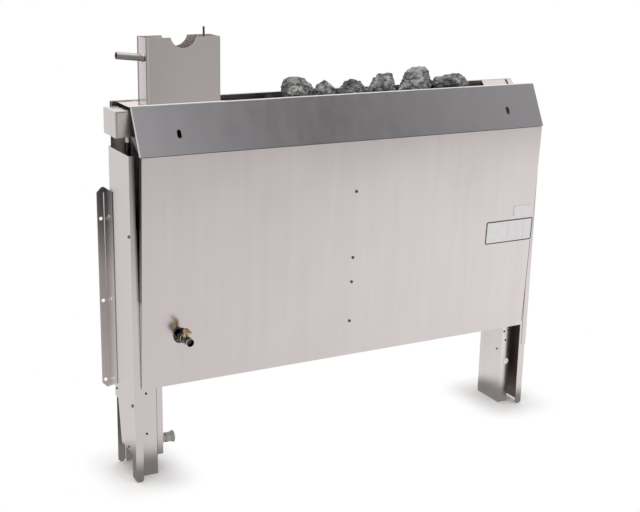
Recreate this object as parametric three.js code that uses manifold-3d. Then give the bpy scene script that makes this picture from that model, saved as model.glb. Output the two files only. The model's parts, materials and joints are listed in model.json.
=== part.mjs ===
// A slim sauna heater in folded sheet steel: stones on a grate over heating elements, a steam tank
// under a lift-off steam head, and a drain tap through the front panel.
// Millimetres. X runs along the front panel, Y from the front to the wall and Z up from the floor. Until
// the last lines, X is counted from the panel's middle and Y from the bottom edge of its face.
import * as THREE from "three";
import { mergeVertices } from "three/addons/utils/BufferGeometryUtils.js";
import Module from "manifold-3d";

const wasm = await Module();
wasm.setup();

// Fits
const GAP = 0.3; // between pieces that touch
const HOLE_CLEARANCE = 0.4; // around a rod or a screw in its hole, on the radius
const SHEET = 1.5; // thick folded steel
const THIN_SHEET = 1.2; // covers and liners
const OVERRUN = 5; // how far a cutting tool passes through what it cuts
const ROUND = 10; // half the steps in a circle that is seen
const COARSE = 5; // half the steps in a small hole

// Front panel and hood
const PANEL_WIDTH = 1000;
const PANEL_BOTTOM = 216;
const PANEL_HEIGHT = 504;
const PANEL_LEAN = 26; // how far its top stands in front of its bottom
const PANEL_RETURN = 15; // depth of its folded top and bottom edges
const PANEL_END_RETURN = 13; // depth of its folded ends, less where they near the end covers
const HOOD_HEIGHT = 94;
const HOOD_SETBACK = 49; // how far its top lies behind its fold
const HOOD_LIP = 7; // width of its level top edge
const HOOD_OVERHANG = 3; // beyond the panel at each end
const HOOD_SLOT_WIDTH = 9;
const HOOD_SLOT_HEIGHT = 18.5;
const HOOD_SLOT_UP = 39; // its middle above the hood's bottom
const HOOD_SLOT_INSET = 89; // from the panel's end to the middle of the slot
const GUSSET_HEIGHT = 36; // the triangular folds at the hood's ends
const GUSSET_DEPTH = 34;
const PANEL_SCREW_HEIGHTS = [84, 179, 237, 391]; // above the panel's bottom
const STIFFENER_WIDTH = 40;
const STIFFENER_MARGIN = 55; // clear of the panel's bottom and top

// End covers, legs and wall brackets
const LEFT_END_OVERHANG = 16.5; // from the panel's end to the outside of the end cover
const RIGHT_END_OVERHANG = 20;
const COVER_FRONT = 4;
const COVER_DEPTH = 124;
const COVER_BOTTOM = 160;
const COVER_FRONT_FLANGE = 12;
const COVER_BACK_FLANGE = 20;
const POST_TOP = 567;
const POST_FLANGE = 17;
const FOOT_CHAMFER = 5;
const ARCH_HEIGHT = 60; // the cut-out between the left post's front and back foot
const ARCH_INSET = 22;
const ARCH_BACK_INSET = 28;
const ARCH_SLOT_HEIGHT = 167;
const ARCH_SLOT_INSET = 9;
const INNER_LEG_FRONT = 31.6;
const LEFT_LEG_INSET = 44; // from the panel's end to the inside of the inner leg's web
const LEFT_LEG_FLANGE = 42;
const RIGHT_LEG_INSET = 33;
const RIGHT_LEG_FLANGE = 26;
const PLUG_DIAMETER = 16;
const PLUG_HEIGHT = 110;
const PLUG_INSET = 16; // from the inner leg's web
const PLUG_RIM = 1.5; // around its hole
const PLUG_STEM_LENGTH = 4;
const PLUG_CROWN = 1.8;
const RAIL_HEIGHT = 28;
const RAIL_DEPTH = 30;
const BRACKET_SIDE_WIDTH = 53.5;
const BRACKET_WALL_WIDTH = 17.5;
const BRACKET_REACH = 35.6; // from the end cover's back to the wall
const BRACKET_BOTTOM = 169;
const BRACKET_HEIGHT = 456;
const BRACKET_RISE = 25; // how far the side leg's bottom rises to its front edge
const BRACKET_CHAMFER = 11;
const BRACKET_HOLE_DIAMETER = 8;
const BRACKET_HOLES = 3;
const BRACKET_HOLE_FIRST = 18; // above the bracket's bottom
const BRACKET_HOLE_PITCH = 184.5;
const WALL_HOLE_INSET = 8; // from the wall leg's outer edge
const SIDE_HOLE_DEPTH = 30; // from the wall
const SIDE_HOLE_RISE = 12; // above the holes in the wall leg
const COVER_SCREWS = [
  { name: "upper", depth: 9, height: 391 },
  { name: "lower", depth: 12, height: 17 },
];

// Screws
const SCREW_HEAD_DIAMETER = 7;
const SCREW_HEAD_HEIGHT = 2;
const SCREW_SHANK_DIAMETER = 3.4;
const SCREW_LENGTH = 8;
const SCREW_SIDES = 12;

// Rear wall, stone chamber and heating elements
const WALL_HEM_DEPTH = 11;
const WALL_HEM_DROP = 20;
const WALL_LEFT_INSET = 3; // from the leg posts to the rear wall's ends
const WALL_RIGHT_INSET = 10;
const REAR_AIR_GAP = 15.8; // between the rear liner and the rear wall
const LINER_FRONT = 29.5;
const CHAMBER_LEFT_INSET = 212; // from the panel's ends to the chamber's ends
const CHAMBER_RIGHT_INSET = 15;
const REAR_LINER_DROP = 15; // its top lies this far below the hood's top
const GRATE_DROP = 25;
const GRATE_THICKNESS = 3;
const GRATE_BARS = 26;
const GRATE_BAR_WIDTH = 9;
const GRATE_RIM = 8;
const LEDGE_WIDTH = 10;
const ELEMENT_DIAMETER = 8.5;
const ELEMENT_COUNT = 3;
const ELEMENT_PITCH = 140; // from one hairpin to the next
const ELEMENT_SPREAD = 70; // between the two legs of a hairpin
const ELEMENT_LOWEST = 340;
const ELEMENT_TAIL = 18; // beyond the chamber's right end
const ELEMENT_BEND_CLEARANCE = 18;
const SUPPORT_POSITION = 0.5; // along the chamber

// Steam tank and steam head
const HEAD_INSET = 34.4; // from the panel's left end
const HEAD_WIDTH = 161.6;
const HEAD_FRONT = 31;
const HEAD_DEPTH = 51;
const HEAD_HEIGHT = 136;
const NOTCH_RADIUS = 28.7;
const NOTCH_DEPTH = 22;
const NOTCH_INSET = 81; // from the head's left wall
const COLLAR_HEIGHT = 12;
const TOP_COVER_MARGIN = 10; // right of the steam head
const INLET_DIAMETER = 15;
const INLET_BORE = 13;
const INLET_LENGTH = 57;
const INLET_RISE = 6.5; // degrees, upwards to its open end
const INLET_DEPTH = 17; // behind the head's front
const INLET_DROP = 40; // below the head's top
const PROBE_DIAMETER = 4.5;
const PROBE_INSET = 26; // from the head's right wall
const PROBE_ABOVE = 18; // above the head's top
const PROBE_LENGTH = 520;
const PROBE_STRIP = 12;
const TANK_INSET = 24;
const TANK_WIDTH = 178;
const TANK_FRONT = 36;
const TANK_BACK_GAP = 21; // to the rear wall
const TANK_RIM = 5;
const TANK_ELEMENT_DROP = 32; // its cold ends below the hood's top
const TANK_ELEMENT_DEPTHS = [14, 50]; // its two legs behind the tank's front
const TANK_ELEMENT_INSET = 27; // behind the tank's left wall
const TANK_ELEMENT_OUT = 30; // cold ends outside the tank
const TANK_ELEMENT_FOOT = 38; // above the tank's floor
const TANK_ELEMENT_BEND = 16;

// Terminal cover and lead at the left end
const TERMINAL_OUT = 34; // from the panel's end to the cover's left face
const TERMINAL_TOP_WIDTH = 31;
const TERMINAL_BOTTOM_WIDTH = 22.5;
const TERMINAL_FRONT = 30;
const TERMINAL_DEPTH = 71;
const TERMINAL_HEIGHT = 54;
const TERMINAL_DROP = 8; // its top below the hood's top
const TONGUE_WIDTH = 50;
const LEAD_DIAMETER = 4.5;
const SLEEVE_DIAMETER = 8;
const SLEEVE_LENGTH = 14;
const SLEEVE_HIDDEN = 1; // inside the terminal cover
const LEAD_OUT = 3; // its run down, outside the panel's end
const LEAD_STRAIGHT = 4; // below the sleeve
const LEAD_SHIFT = 14; // the height over which it moves to its run down
const LEAD_BEND = 6;
const LEAD_ENTRY_DEPTH = 11; // behind the connection box's front
const CROSSING_ABOVE_RAIL = 20; // where the lead and the loom pass over the bottom rails

// Connection box by the left leg
const BOX_WIDTH = 22;
const BOX_FRONT = 57;
const BOX_DEPTH = 53;
const BOX_BOTTOM = 33;
const BOX_HEIGHT = 165;
const GLAND_HEIGHT = 23; // its axis above the box's bottom
const GLAND_DEPTH = 29; // its axis behind the box's front
const GLAND_THREAD_DIAMETER = 19;
const GLAND_COLLAR_DIAMETER = 22;
const GLAND_NUT_DIAMETER = 27;
const GLAND_BORE = 12;
const GLAND_BODY_LENGTH = 15;
const GLAND_NUT_LENGTH = 20;
const GLAND_FLANGE = 3;
const GLAND_NECK = 3;
const GLAND_NUT_RIM = 2.5;
const GLAND_NUT_TAPER = 5.5;
const BLOCK_WIDTH = 14;
const BLOCK_DEPTH = 20;
const BLOCK_HEIGHT = 70;
const BLOCK_UP = 66; // above the box's bottom
const BLOCK_WAYS = 5;
const BLOCK_GROOVE_WIDTH = 2;
const BLOCK_GROOVE_DEPTH = 6;
const LOOM_DIAMETER = 8;
const LOOM_BEND = 12;
const LOOM_ENTRY_DEPTH = 29; // behind the box's front
const LOOM_END_GAP = 8; // behind the heating elements
const LOOM_PAST_CHAMBER = 13.5;
const WIRE_INSIDE_BOX = 5; // how far the lead and the loom reach into the box
const LOOM_HEIGHT = 330;
const LOOM_END_HEIGHT = 445;

// Drain tap
const TAP_INSET = 87; // from the panel's left end
const TAP_HEIGHT = 328;
const TAP_HOLE_DIAMETER = 35;
const TANK_FLOOR_DROP = 34; // the tank's floor below the tap's axis
const PIPE_DIAMETER = 16;
const PIPE_BORE = 10;
const PIPE_REACH = 6; // in front of the panel
const TAP_HEX_FLATS = 24;
const TAP_HEX_LENGTH = 10;
const TAP_BODY_DIAMETER = 22;
const TAP_BODY_LENGTH = 24;
const TAP_NOZZLE_DIAMETER = 18;
const TAP_NOZZLE_LENGTH = 13;
const TAP_MOUTH_DIAMETER = 13.6;
const TAP_MOUTH_DEPTH = 11;
const BALL_DIAMETER = 15.8;
const STEM_DIAMETER = 5.4;
const BOSS_DIAMETER = 13;
const BOSS_HEIGHT = 18; // above the tap's axis
const HUB_DIAMETER = 12;
const HANDLE_THICKNESS = 5;
const HANDLE_STEP = 1; // the lever's underside above the hub's
const HANDLE_WIDTH = 8;
const HANDLE_LENGTH = 24;

// Plates on the panel
const PLATE_THICKNESS = 0.8;
const RATING_PLATE = { right: 0.5, bottom: 225, width: 136, height: 56, corner: 4 };
const SMALL_PLATE = { right: 12, bottom: 288, width: 47, height: 26, corner: 2 };

// Stones, from left to right: width, height above the grate, the space before each one, how far its
// peak leans to the right for each part of its height, and a shape number
const STONE_ROW_START = 144; // from the chamber's left end
const STONE_CLEARANCE = 6; // to the chamber's front and back
const STONE_DETAIL = 3;
const STONE_FACETS = 15;
const STONES = [
  { width: 77, height: 61, space: 0, lean: 0, shape: 11 },
  { width: 56, height: 51, space: 5, lean: 0.2, shape: 25 },
  { width: 67, height: 52, space: 5, lean: 0.1, shape: 37 },
  { width: 61, height: 60, space: 12, lean: 0.3, shape: 41 },
  { width: 92, height: 70, space: 12, lean: 0.2, shape: 58 },
  { width: 99, height: 51, space: 7, lean: -0.5, shape: 63 },
];

// Places that follow from the sizes above
const panelEnd = PANEL_WIDTH / 2;
const panelTop = PANEL_BOTTOM + PANEL_HEIGHT;
const leanAngle = Math.atan2(PANEL_LEAN, PANEL_HEIGHT);
const returnRise = PANEL_RETURN * Math.sin(leanAngle);
const hoodBottom = panelTop + returnRise + GAP;
const hoodTop = hoodBottom + HOOD_HEIGHT;
const hoodBack = HOOD_SETBACK - PANEL_LEAN;
const coverBack = COVER_FRONT + COVER_DEPTH;
const postFront = COVER_FRONT + THIN_SHEET + GAP;
const wallBack = coverBack - THIN_SHEET - GAP;
const wallFront = wallBack - SHEET;
const postBack = wallFront - GAP;
const railBottom = PANEL_BOTTOM + SHEET + returnRise + GAP;
const railFront = postFront + SHEET + GAP;
const railBack = postBack - SHEET - GAP;
const innerLegTop = railBottom - GAP;
const innerLegBack = railBack - SHEET - GAP;
const leftLegWeb = -panelEnd + LEFT_LEG_INSET;
const rightLegWeb = panelEnd - RIGHT_LEG_INSET;
const wallFace = coverBack + BRACKET_REACH;
const chamberLeft = -panelEnd + CHAMBER_LEFT_INSET;
const chamberRight = panelEnd - CHAMBER_RIGHT_INSET;
const chamberBottom = railBottom + SHEET + GAP;
const chamberFront = LINER_FRONT + THIN_SHEET + GAP;
const rearLinerBack = wallFront - REAR_AIR_GAP;
const chamberBack = rearLinerBack - THIN_SHEET - GAP;
const chamberMiddle = (chamberFront + chamberBack) / 2;
const topCoverTop = hoodTop - SHEET - GAP;
const topCoverBottom = topCoverTop - THIN_SHEET;
const hemFront = wallBack - WALL_HEM_DEPTH;
const chamberTop = topCoverBottom - GAP;
const grateTop = hoodTop - GRATE_DROP;
const grateBottom = grateTop - GRATE_THICKNESS;
const headLeft = -panelEnd + HEAD_INSET;
const headRight = headLeft + HEAD_WIDTH;
const headBack = HEAD_FRONT + HEAD_DEPTH;
const headBottom = topCoverTop + GAP;
const headTop = headBottom + HEAD_HEIGHT;
const tankLeft = -panelEnd + TANK_INSET;
const tankRight = tankLeft + TANK_WIDTH;
const tankBack = wallFront - TANK_BACK_GAP;
const tankTop = topCoverBottom - GAP;
const tankFloor = TAP_HEIGHT - TANK_FLOOR_DROP;
const terminalLeft = -panelEnd - TERMINAL_OUT;
const terminalTop = hoodTop - TERMINAL_DROP;
const terminalBottom = terminalTop - TERMINAL_HEIGHT;
const coldEndHeight = hoodTop - TANK_ELEMENT_DROP;
const boxLeft = leftLegWeb + GAP;
const boxRight = boxLeft + BOX_WIDTH;
const boxBack = BOX_FRONT + BOX_DEPTH;
const boxMiddle = (boxLeft + boxRight) / 2;
const boxTop = BOX_BOTTOM + BOX_HEIGHT;
const crossing = railBottom + RAIL_HEIGHT + CROSSING_ABOVE_RAIL;
const tapX = -panelEnd + TAP_INSET;
const tapFront = panelFrontAt(TAP_HEIGHT);
const tapLength = PIPE_REACH + GAP + TAP_HEX_LENGTH + TAP_BODY_LENGTH + TAP_NOZZLE_LENGTH;
const stemPlace = -(PIPE_REACH + GAP + TAP_HEX_LENGTH + TAP_BODY_LENGTH / 2);
const ballCavity = BALL_DIAMETER / 2 + GAP;

// Y of the leaning panel's front face at a height.
function panelFrontAt(height) {
  return (-PANEL_LEAN * (height - PANEL_BOTTOM)) / PANEL_HEIGHT;
}

// How far out the end cover's and the leg post's outsides are, left end at side -1 and right end at side 1.
function coverFaceAt(side) {
  return panelEnd + (side < 0 ? LEFT_END_OVERHANG : RIGHT_END_OVERHANG);
}

function postFaceAt(side) {
  return coverFaceAt(side) - THIN_SHEET - GAP;
}

// Closed surfaces as solids, for joining and cutting
function solidOf(geometry) {
  const bare = geometry.index ? geometry.toNonIndexed() : geometry.clone();
  bare.deleteAttribute("normal");
  bare.deleteAttribute("uv");
  const merged = mergeVertices(bare);
  const kept = [];
  for (let i = 0; i < merged.index.count; i += 3) {
    const [a, b, c] = [0, 1, 2].map((corner) => merged.index.getX(i + corner));
    if (a !== b && b !== c && c !== a) kept.push([a, b, c]);
  }
  const build = (triangles) =>
    new wasm.Manifold(
      new wasm.Mesh({
        numProp: 3,
        vertProperties: merged.attributes.position.array,
        triVerts: new Uint32Array(triangles.flat()),
      }),
    );
  const solid = build(kept);
  return solid.volume() < 0 ? build(kept.map((triangle) => triangle.reverse())) : solid;
}

function geometryOf(solid) {
  const mesh = solid.getMesh();
  const geometry = new THREE.BufferGeometry();
  geometry.setAttribute("position", new THREE.BufferAttribute(new Float32Array(mesh.vertProperties), 3));
  geometry.setIndex(new THREE.BufferAttribute(new Uint32Array(mesh.triVerts), 1));
  geometry.computeVertexNormals();
  return geometry;
}

function join(first, ...others) {
  return geometryOf(others.reduce((solid, other) => solid.add(solidOf(other)), solidOf(first)));
}

function cut(first, ...tools) {
  return geometryOf(tools.reduce((solid, tool) => solid.subtract(solidOf(tool)), solidOf(first)));
}

// Outlines
function outline(points, holes = []) {
  const shape = new THREE.Shape(points.map(([u, v]) => new THREE.Vector2(u, v)));
  shape.holes.push(...holes);
  return shape;
}

function rectangle(u0, v0, u1, v1, holes = []) {
  return outline(
    [
      [u0, v0],
      [u1, v0],
      [u1, v1],
      [u0, v1],
    ],
    holes,
  );
}

function roundedRectangle(u0, v0, u1, v1, corner) {
  const shape = new THREE.Shape();
  shape.absarc(u1 - corner, v0 + corner, corner, -Math.PI / 2, 0, false);
  shape.absarc(u1 - corner, v1 - corner, corner, 0, Math.PI / 2, false);
  shape.absarc(u0 + corner, v1 - corner, corner, Math.PI / 2, Math.PI, false);
  shape.absarc(u0 + corner, v0 + corner, corner, Math.PI, Math.PI * 1.5, false);
  return shape;
}

function circle(u, v, diameter) {
  const path = new THREE.Path();
  path.absarc(u, v, diameter / 2, 0, Math.PI * 2, false);
  return path;
}

function uprightSlot(u, v, width, height) {
  const shape = new THREE.Shape();
  const half = (height - width) / 2;
  shape.absarc(u, v + half, width / 2, 0, Math.PI, false);
  shape.absarc(u, v - half, width / 2, Math.PI, Math.PI * 2, false);
  return shape;
}

// The closed outline of a sheet folded along a line of points, its thickness to the left of the line.
function folded(points, thickness) {
  const line = points.map(([u, v]) => new THREE.Vector2(u, v));
  const normals = line.slice(1).map((point, i) => {
    const along = point.clone().sub(line[i]).normalize();
    return new THREE.Vector2(-along.y, along.x);
  });
  const inner = line.map((point, i) => {
    const before = normals[Math.max(i - 1, 0)];
    const after = normals[Math.min(i, normals.length - 1)];
    const mitre = before.clone().add(after).divideScalar(1 + before.dot(after));
    return point.clone().addScaledVector(mitre, thickness);
  });
  return new THREE.Shape([...line, ...inner.reverse()]);
}

// Plates and bars
function extrude(shape, depth, curveSegments = ROUND) {
  return new THREE.ExtrudeGeometry(shape, { depth, curveSegments, bevelEnabled: false });
}

// A plate facing along X, from an outline drawn in Y and Z.
function plateX(shape, left, thickness, curveSegments) {
  const turn = new THREE.Matrix4().makeBasis(
    new THREE.Vector3(0, 1, 0),
    new THREE.Vector3(0, 0, 1),
    new THREE.Vector3(1, 0, 0),
  );
  return extrude(shape, thickness, curveSegments).applyMatrix4(turn).translate(left, 0, 0);
}

// A plate facing along Y, from an outline drawn in X and Z.
function plateY(shape, front, thickness, curveSegments) {
  return extrude(shape, thickness, curveSegments)
    .rotateX(Math.PI / 2)
    .translate(0, front + thickness, 0);
}

// A plate facing along Z, from an outline drawn in X and Y.
function plateZ(shape, bottom, thickness, curveSegments) {
  return extrude(shape, thickness, curveSegments).translate(0, 0, bottom);
}

function block(x0, x1, y0, y1, z0, z1) {
  return new THREE.BoxGeometry(x1 - x0, y1 - y0, z1 - z0).translate(
    (x0 + x1) / 2,
    (y0 + y1) / 2,
    (z0 + z1) / 2,
  );
}

// Round bars and pipes between two points
function standBetween(geometry, from, to) {
  const start = new THREE.Vector3(...from);
  const along = new THREE.Vector3(...to).sub(start).normalize();
  const turn = new THREE.Quaternion().setFromUnitVectors(new THREE.Vector3(0, 1, 0), along);
  return geometry.applyQuaternion(turn).translate(...from);
}

function lengthBetween(from, to) {
  return new THREE.Vector3(...from).distanceTo(new THREE.Vector3(...to));
}

function rod(diameter, from, to, sides = ROUND * 2) {
  const length = lengthBetween(from, to);
  const bar = new THREE.CylinderGeometry(diameter / 2, diameter / 2, length, sides);
  return standBetween(bar.translate(0, length / 2, 0), from, to);
}

function turned(profile, from, to, sides = ROUND * 2) {
  const points = profile.map(([radius, along]) => new THREE.Vector2(radius, along));
  return standBetween(new THREE.LatheGeometry(points, sides), from, to);
}

function pipe(diameter, bore, from, to) {
  const length = lengthBetween(from, to);
  const ring = [
    [bore / 2, 0],
    [diameter / 2, 0],
    [diameter / 2, length],
    [bore / 2, length],
    [bore / 2, 0],
  ];
  return turned(ring, from, to);
}

// A route of straight runs with round bends, which has its steps only where it bends.
class BentRoute extends THREE.Curve {
  constructor(corners, bendRadius, bendSteps) {
    super();
    const places = corners.map((corner) => new THREE.Vector3(...corner));
    const last = places.length - 1;
    const runs = places.slice(1).map((place, i) => place.clone().sub(places[i]).normalize());
    this.rings = [places[0]];
    this.directions = [runs[0]];
    for (let i = 1; i < last; i += 1) this.addBend(places[i], runs[i - 1], runs[i], bendRadius, bendSteps);
    this.rings.push(places[last]);
    this.directions.push(runs[last - 1]);
  }

  addBend(corner, before, after, radius, steps) {
    const angle = before.angleTo(after);
    const inward = after.clone().sub(before).normalize();
    const centre = corner.clone().addScaledVector(inward, radius / Math.cos(angle / 2));
    const axis = before.clone().cross(after).normalize();
    const spoke = corner.clone().addScaledVector(before, -radius * Math.tan(angle / 2)).sub(centre);
    for (let step = 0; step <= steps; step += 1) {
      const turn = (angle * step) / steps;
      this.rings.push(spoke.clone().applyAxisAngle(axis, turn).add(centre));
      this.directions.push(before.clone().applyAxisAngle(axis, turn));
    }
  }

  getSpacedPoints() {
    return this.rings;
  }

  getTangentAt(share) {
    return this.directions[Math.round(share * (this.rings.length - 1))].clone();
  }
}

function bentRod(diameter, corners, bendRadius, bendSteps = 5, sides = 8) {
  const route = new BentRoute(corners, bendRadius, bendSteps);
  const section = new THREE.Shape();
  section.absarc(0, 0, diameter / 2, 0, Math.PI * 2, false);
  return new THREE.ExtrudeGeometry(section, {
    steps: route.rings.length - 1,
    extrudePath: route,
    curveSegments: sides / 2,
  });
}

// Finishes: colour, roughness and metalness
const BRUSHED_STEEL = [0xcbc3be, 0.34, 1];
const BRIGHT_STEEL = [0xd8d2ce, 0.22, 1];
const ELEMENT_STEEL = [0x4c4846, 0.5, 1];
const SCREW_STEEL = [0x8d857c, 0.35, 1];
const CHROME = [0xb9b6b2, 0.12, 1];
const BRASS = [0xb98a4a, 0.25, 1];
const COPPER = [0x9a4a3c, 0.35, 1];
const RED_SILICONE = [0x5a1512, 0.55, 0];
const CERAMIC = [0xe6e2da, 0.4, 0];
const GREY_PLASTIC = [0x7f7d7d, 0.5, 0];
const WHITE_PLASTIC = [0xf2efec, 0.4, 0];
const BLACK_PLASTIC = [0x222222, 0.5, 0];
const WIRE_BLACK = [0x2a2725, 0.6, 0];
const PLATE_WHITE = [0xe9e6e3, 0.45, 0];
const STONE_GREY = [0x6d6f68, 0.95, 0];

const heater = new THREE.Group();
const panelPlane = new THREE.Group();
panelPlane.position.set(0, 0, PANEL_BOTTOM);
panelPlane.rotation.x = leanAngle;
const tap = new THREE.Group();
tap.position.set(tapX, tapFront, TAP_HEIGHT);
heater.add(panelPlane, tap);

function addPiece(name, geometry, [color, roughness, metalness], parent = heater) {
  const material = new THREE.MeshStandardMaterial({ color, roughness, metalness });
  const mesh = new THREE.Mesh(geometryOf(solidOf(geometry)), material);
  mesh.name = name;
  parent.add(mesh);
}

// A pan-head screw with the underside of its head at a point, its head standing out along a direction.
function screwAt(point, out) {
  const head = SCREW_HEAD_DIAMETER / 2;
  const shank = SCREW_SHANK_DIAMETER / 2;
  const profile = [
    [0, -SCREW_LENGTH],
    [shank, -SCREW_LENGTH],
    [shank, 0],
    [head, 0],
    [head, SCREW_HEAD_HEIGHT / 2],
    [head - SCREW_HEAD_HEIGHT / 2, SCREW_HEAD_HEIGHT],
    [0, SCREW_HEAD_HEIGHT],
  ];
  const tip = point.map((value, i) => value + out[i]);
  return turned(profile, point, tip, SCREW_SIDES);
}

const screwHole = SCREW_SHANK_DIAMETER + 2 * HOLE_CLEARANCE;

function addFrontPanel() {
  const height = PANEL_HEIGHT / Math.cos(leanAngle);
  const holes = PANEL_SCREW_HEIGHTS.map((up) => circle(0, up, screwHole));
  const tapUp = (TAP_HEIGHT - PANEL_BOTTOM) / Math.cos(leanAngle);
  holes.push(circle(tapX, tapUp, TAP_HOLE_DIAMETER));
  const face = plateY(rectangle(-panelEnd, 0, panelEnd, height, holes), 0, SHEET);
  const returnEnd = postFaceAt(-1) - POST_FLANGE - SHEET; // the folded edges pass between the leg posts
  const bottomReturn = block(-returnEnd, returnEnd, 0, PANEL_RETURN, 0, SHEET);
  const topReturn = block(-returnEnd, returnEnd, 0, PANEL_RETURN, height - SHEET, height);
  const fullDepthUp = ((PANEL_END_RETURN - COVER_FRONT) * PANEL_HEIGHT) / PANEL_LEAN;
  const endReturn = outline([
    [0, 0],
    [COVER_FRONT, 0],
    [PANEL_END_RETURN, fullDepthUp],
    [PANEL_END_RETURN, height],
    [0, height],
  ]);
  const leftReturn = plateX(endReturn, -panelEnd, SHEET);
  const rightReturn = plateX(endReturn, panelEnd - SHEET, SHEET);
  const panel = join(face, bottomReturn, topReturn, leftReturn, rightReturn);
  addPiece("front_panel", panel, BRUSHED_STEEL, panelPlane);
  PANEL_SCREW_HEIGHTS.forEach((up, i) => {
    const screw = screwAt([0, -GAP, up], [0, -1, 0]);
    addPiece(`panel_screw_${i + 1}`, screw, SCREW_STEEL, panelPlane);
  });
}

function addPlate(name, { right, bottom, width, height, corner }) {
  const edge = panelEnd - right;
  const shape = roundedRectangle(edge - width, bottom, edge, bottom + height, corner);
  const plate = plateY(shape, -GAP - PLATE_THICKNESS, PLATE_THICKNESS, COARSE);
  addPiece(name, plate, PLATE_WHITE, panelPlane);
}

// The U-shaped stiffener behind the panel, whose front leans with the panel.
function addPanelStiffener() {
  const bottom = PANEL_BOTTOM + STIFFENER_MARGIN;
  const top = panelTop - STIFFENER_MARGIN;
  const offset = SHEET / Math.cos(leanAngle) + GAP;
  const back = LINER_FRONT - GAP;
  const side = (inset) => [
    [panelFrontAt(bottom) + offset + inset, bottom],
    [panelFrontAt(top) + offset + inset, top],
    [back, top],
    [back, bottom],
  ];
  const half = STIFFENER_WIDTH / 2;
  const outside = plateX(outline(side(0)), -half, STIFFENER_WIDTH);
  const hollow = plateX(outline(side(SHEET)), -half + SHEET, STIFFENER_WIDTH - 2 * SHEET);
  const across = [-half + SHEET, half - SHEET];
  const opened = block(...across, back - OVERRUN, back + OVERRUN, bottom - OVERRUN, top + OVERRUN);
  const holes = PANEL_SCREW_HEIGHTS.map((up) => {
    const height = PANEL_BOTTOM + up * Math.cos(leanAngle);
    const front = panelFrontAt(height);
    const wide = screwHole + 2 * HOLE_CLEARANCE;
    return rod(wide, [0, front - OVERRUN, height], [0, front + 2 * OVERRUN, height], COARSE * 2);
  });
  addPiece("panel_stiffener", cut(outside, hollow, opened, ...holes), BRIGHT_STEEL);
}

function addHood() {
  const end = panelEnd + HOOD_OVERHANG;
  const profile = folded(
    [
      [-PANEL_LEAN + PANEL_RETURN, hoodBottom],
      [-PANEL_LEAN, hoodBottom],
      [hoodBack, hoodTop],
      [hoodBack + HOOD_LIP, hoodTop],
    ],
    -SHEET,
  );
  const sheet = plateX(profile, -end, 2 * end);
  const slope = Math.atan2(HOOD_HEIGHT, HOOD_SETBACK);
  const gussetTop = hoodBottom + GUSSET_HEIGHT;
  const gussetFront = -PANEL_LEAN + (HOOD_SETBACK * GUSSET_HEIGHT) / HOOD_HEIGHT;
  const gusset = outline([
    [-PANEL_LEAN + SHEET, hoodBottom + SHEET / 2],
    [gussetFront + GUSSET_DEPTH, gussetTop],
    [gussetFront + SHEET / 2, gussetTop],
  ]);
  const gussets = [-end, end - SHEET].map((left) => plateX(gusset, left, SHEET));
  const slots = [-1, 1].map((side) => {
    const tool = extrude(uprightSlot(0, 0, HOOD_SLOT_WIDTH, HOOD_SLOT_HEIGHT), 4 * OVERRUN, COARSE);
    const front = -PANEL_LEAN + (HOOD_SETBACK * HOOD_SLOT_UP) / HOOD_HEIGHT;
    return tool
      .translate(0, 0, -2 * OVERRUN)
      .rotateX(slope)
      .translate(side * (panelEnd - HOOD_SLOT_INSET), front, hoodBottom + HOOD_SLOT_UP);
  });
  addPiece("top_hood", cut(join(sheet, ...gussets), ...slots), BRUSHED_STEEL);
}

function addRearWall() {
  const profile = folded(
    [
      [wallBack, chamberBottom],
      [wallBack, hoodTop],
      [hemFront, hoodTop],
      [hemFront, hoodTop - WALL_HEM_DROP],
    ],
    SHEET,
  );
  const left = -(postFaceAt(-1) - WALL_LEFT_INSET);
  const right = postFaceAt(1) - WALL_RIGHT_INSET;
  addPiece("rear_wall", plateX(profile, left, right - left), BRIGHT_STEEL);
}

// The X of a sheet's left face at one end, given how far out its outside is.
function sheetLeft(side, outside, thickness) {
  return side < 0 ? -outside : outside - thickness;
}

// A flange that runs inwards from the outside of an end.
function flangeX(side, outside, width) {
  return side < 0 ? [-outside, -outside + width] : [outside - width, outside];
}

function addEndCover(side, label) {
  const coverFace = coverFaceAt(side);
  const holes = COVER_SCREWS.map(({ depth, height }) =>
    circle(COVER_FRONT + depth, COVER_BOTTOM + height, screwHole),
  );
  const web = plateX(
    rectangle(COVER_FRONT, COVER_BOTTOM, coverBack, panelTop, holes),
    sheetLeft(side, coverFace, THIN_SHEET),
    THIN_SHEET,
    COARSE,
  );
  const [f0, f1] = flangeX(side, coverFace, COVER_FRONT_FLANGE);
  const front = block(f0, f1, COVER_FRONT, COVER_FRONT + THIN_SHEET, COVER_BOTTOM, panelTop);
  const [b0, b1] = flangeX(side, coverFace, COVER_BACK_FLANGE);
  const back = block(b0, b1, coverBack - THIN_SHEET, coverBack, COVER_BOTTOM, panelTop);
  addPiece(`end_cover_${label}`, join(web, front, back), BRUSHED_STEEL);
  COVER_SCREWS.forEach(({ name, depth, height }) => {
    const seat = [side * (coverFace + GAP), COVER_FRONT + depth, COVER_BOTTOM + height];
    addPiece(`end_cover_screw_${label}_${name}`, screwAt(seat, [side, 0, 0]), SCREW_STEEL);
  });
}

// A foot flange with its bottom corners cut off.
function footFlange(x0, x1, bottom, top) {
  return outline([
    [x0 + FOOT_CHAMFER, bottom],
    [x1 - FOOT_CHAMFER, bottom],
    [x1, bottom + FOOT_CHAMFER],
    [x1, top],
    [x0, top],
    [x0, bottom + FOOT_CHAMFER],
  ]);
}

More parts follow.
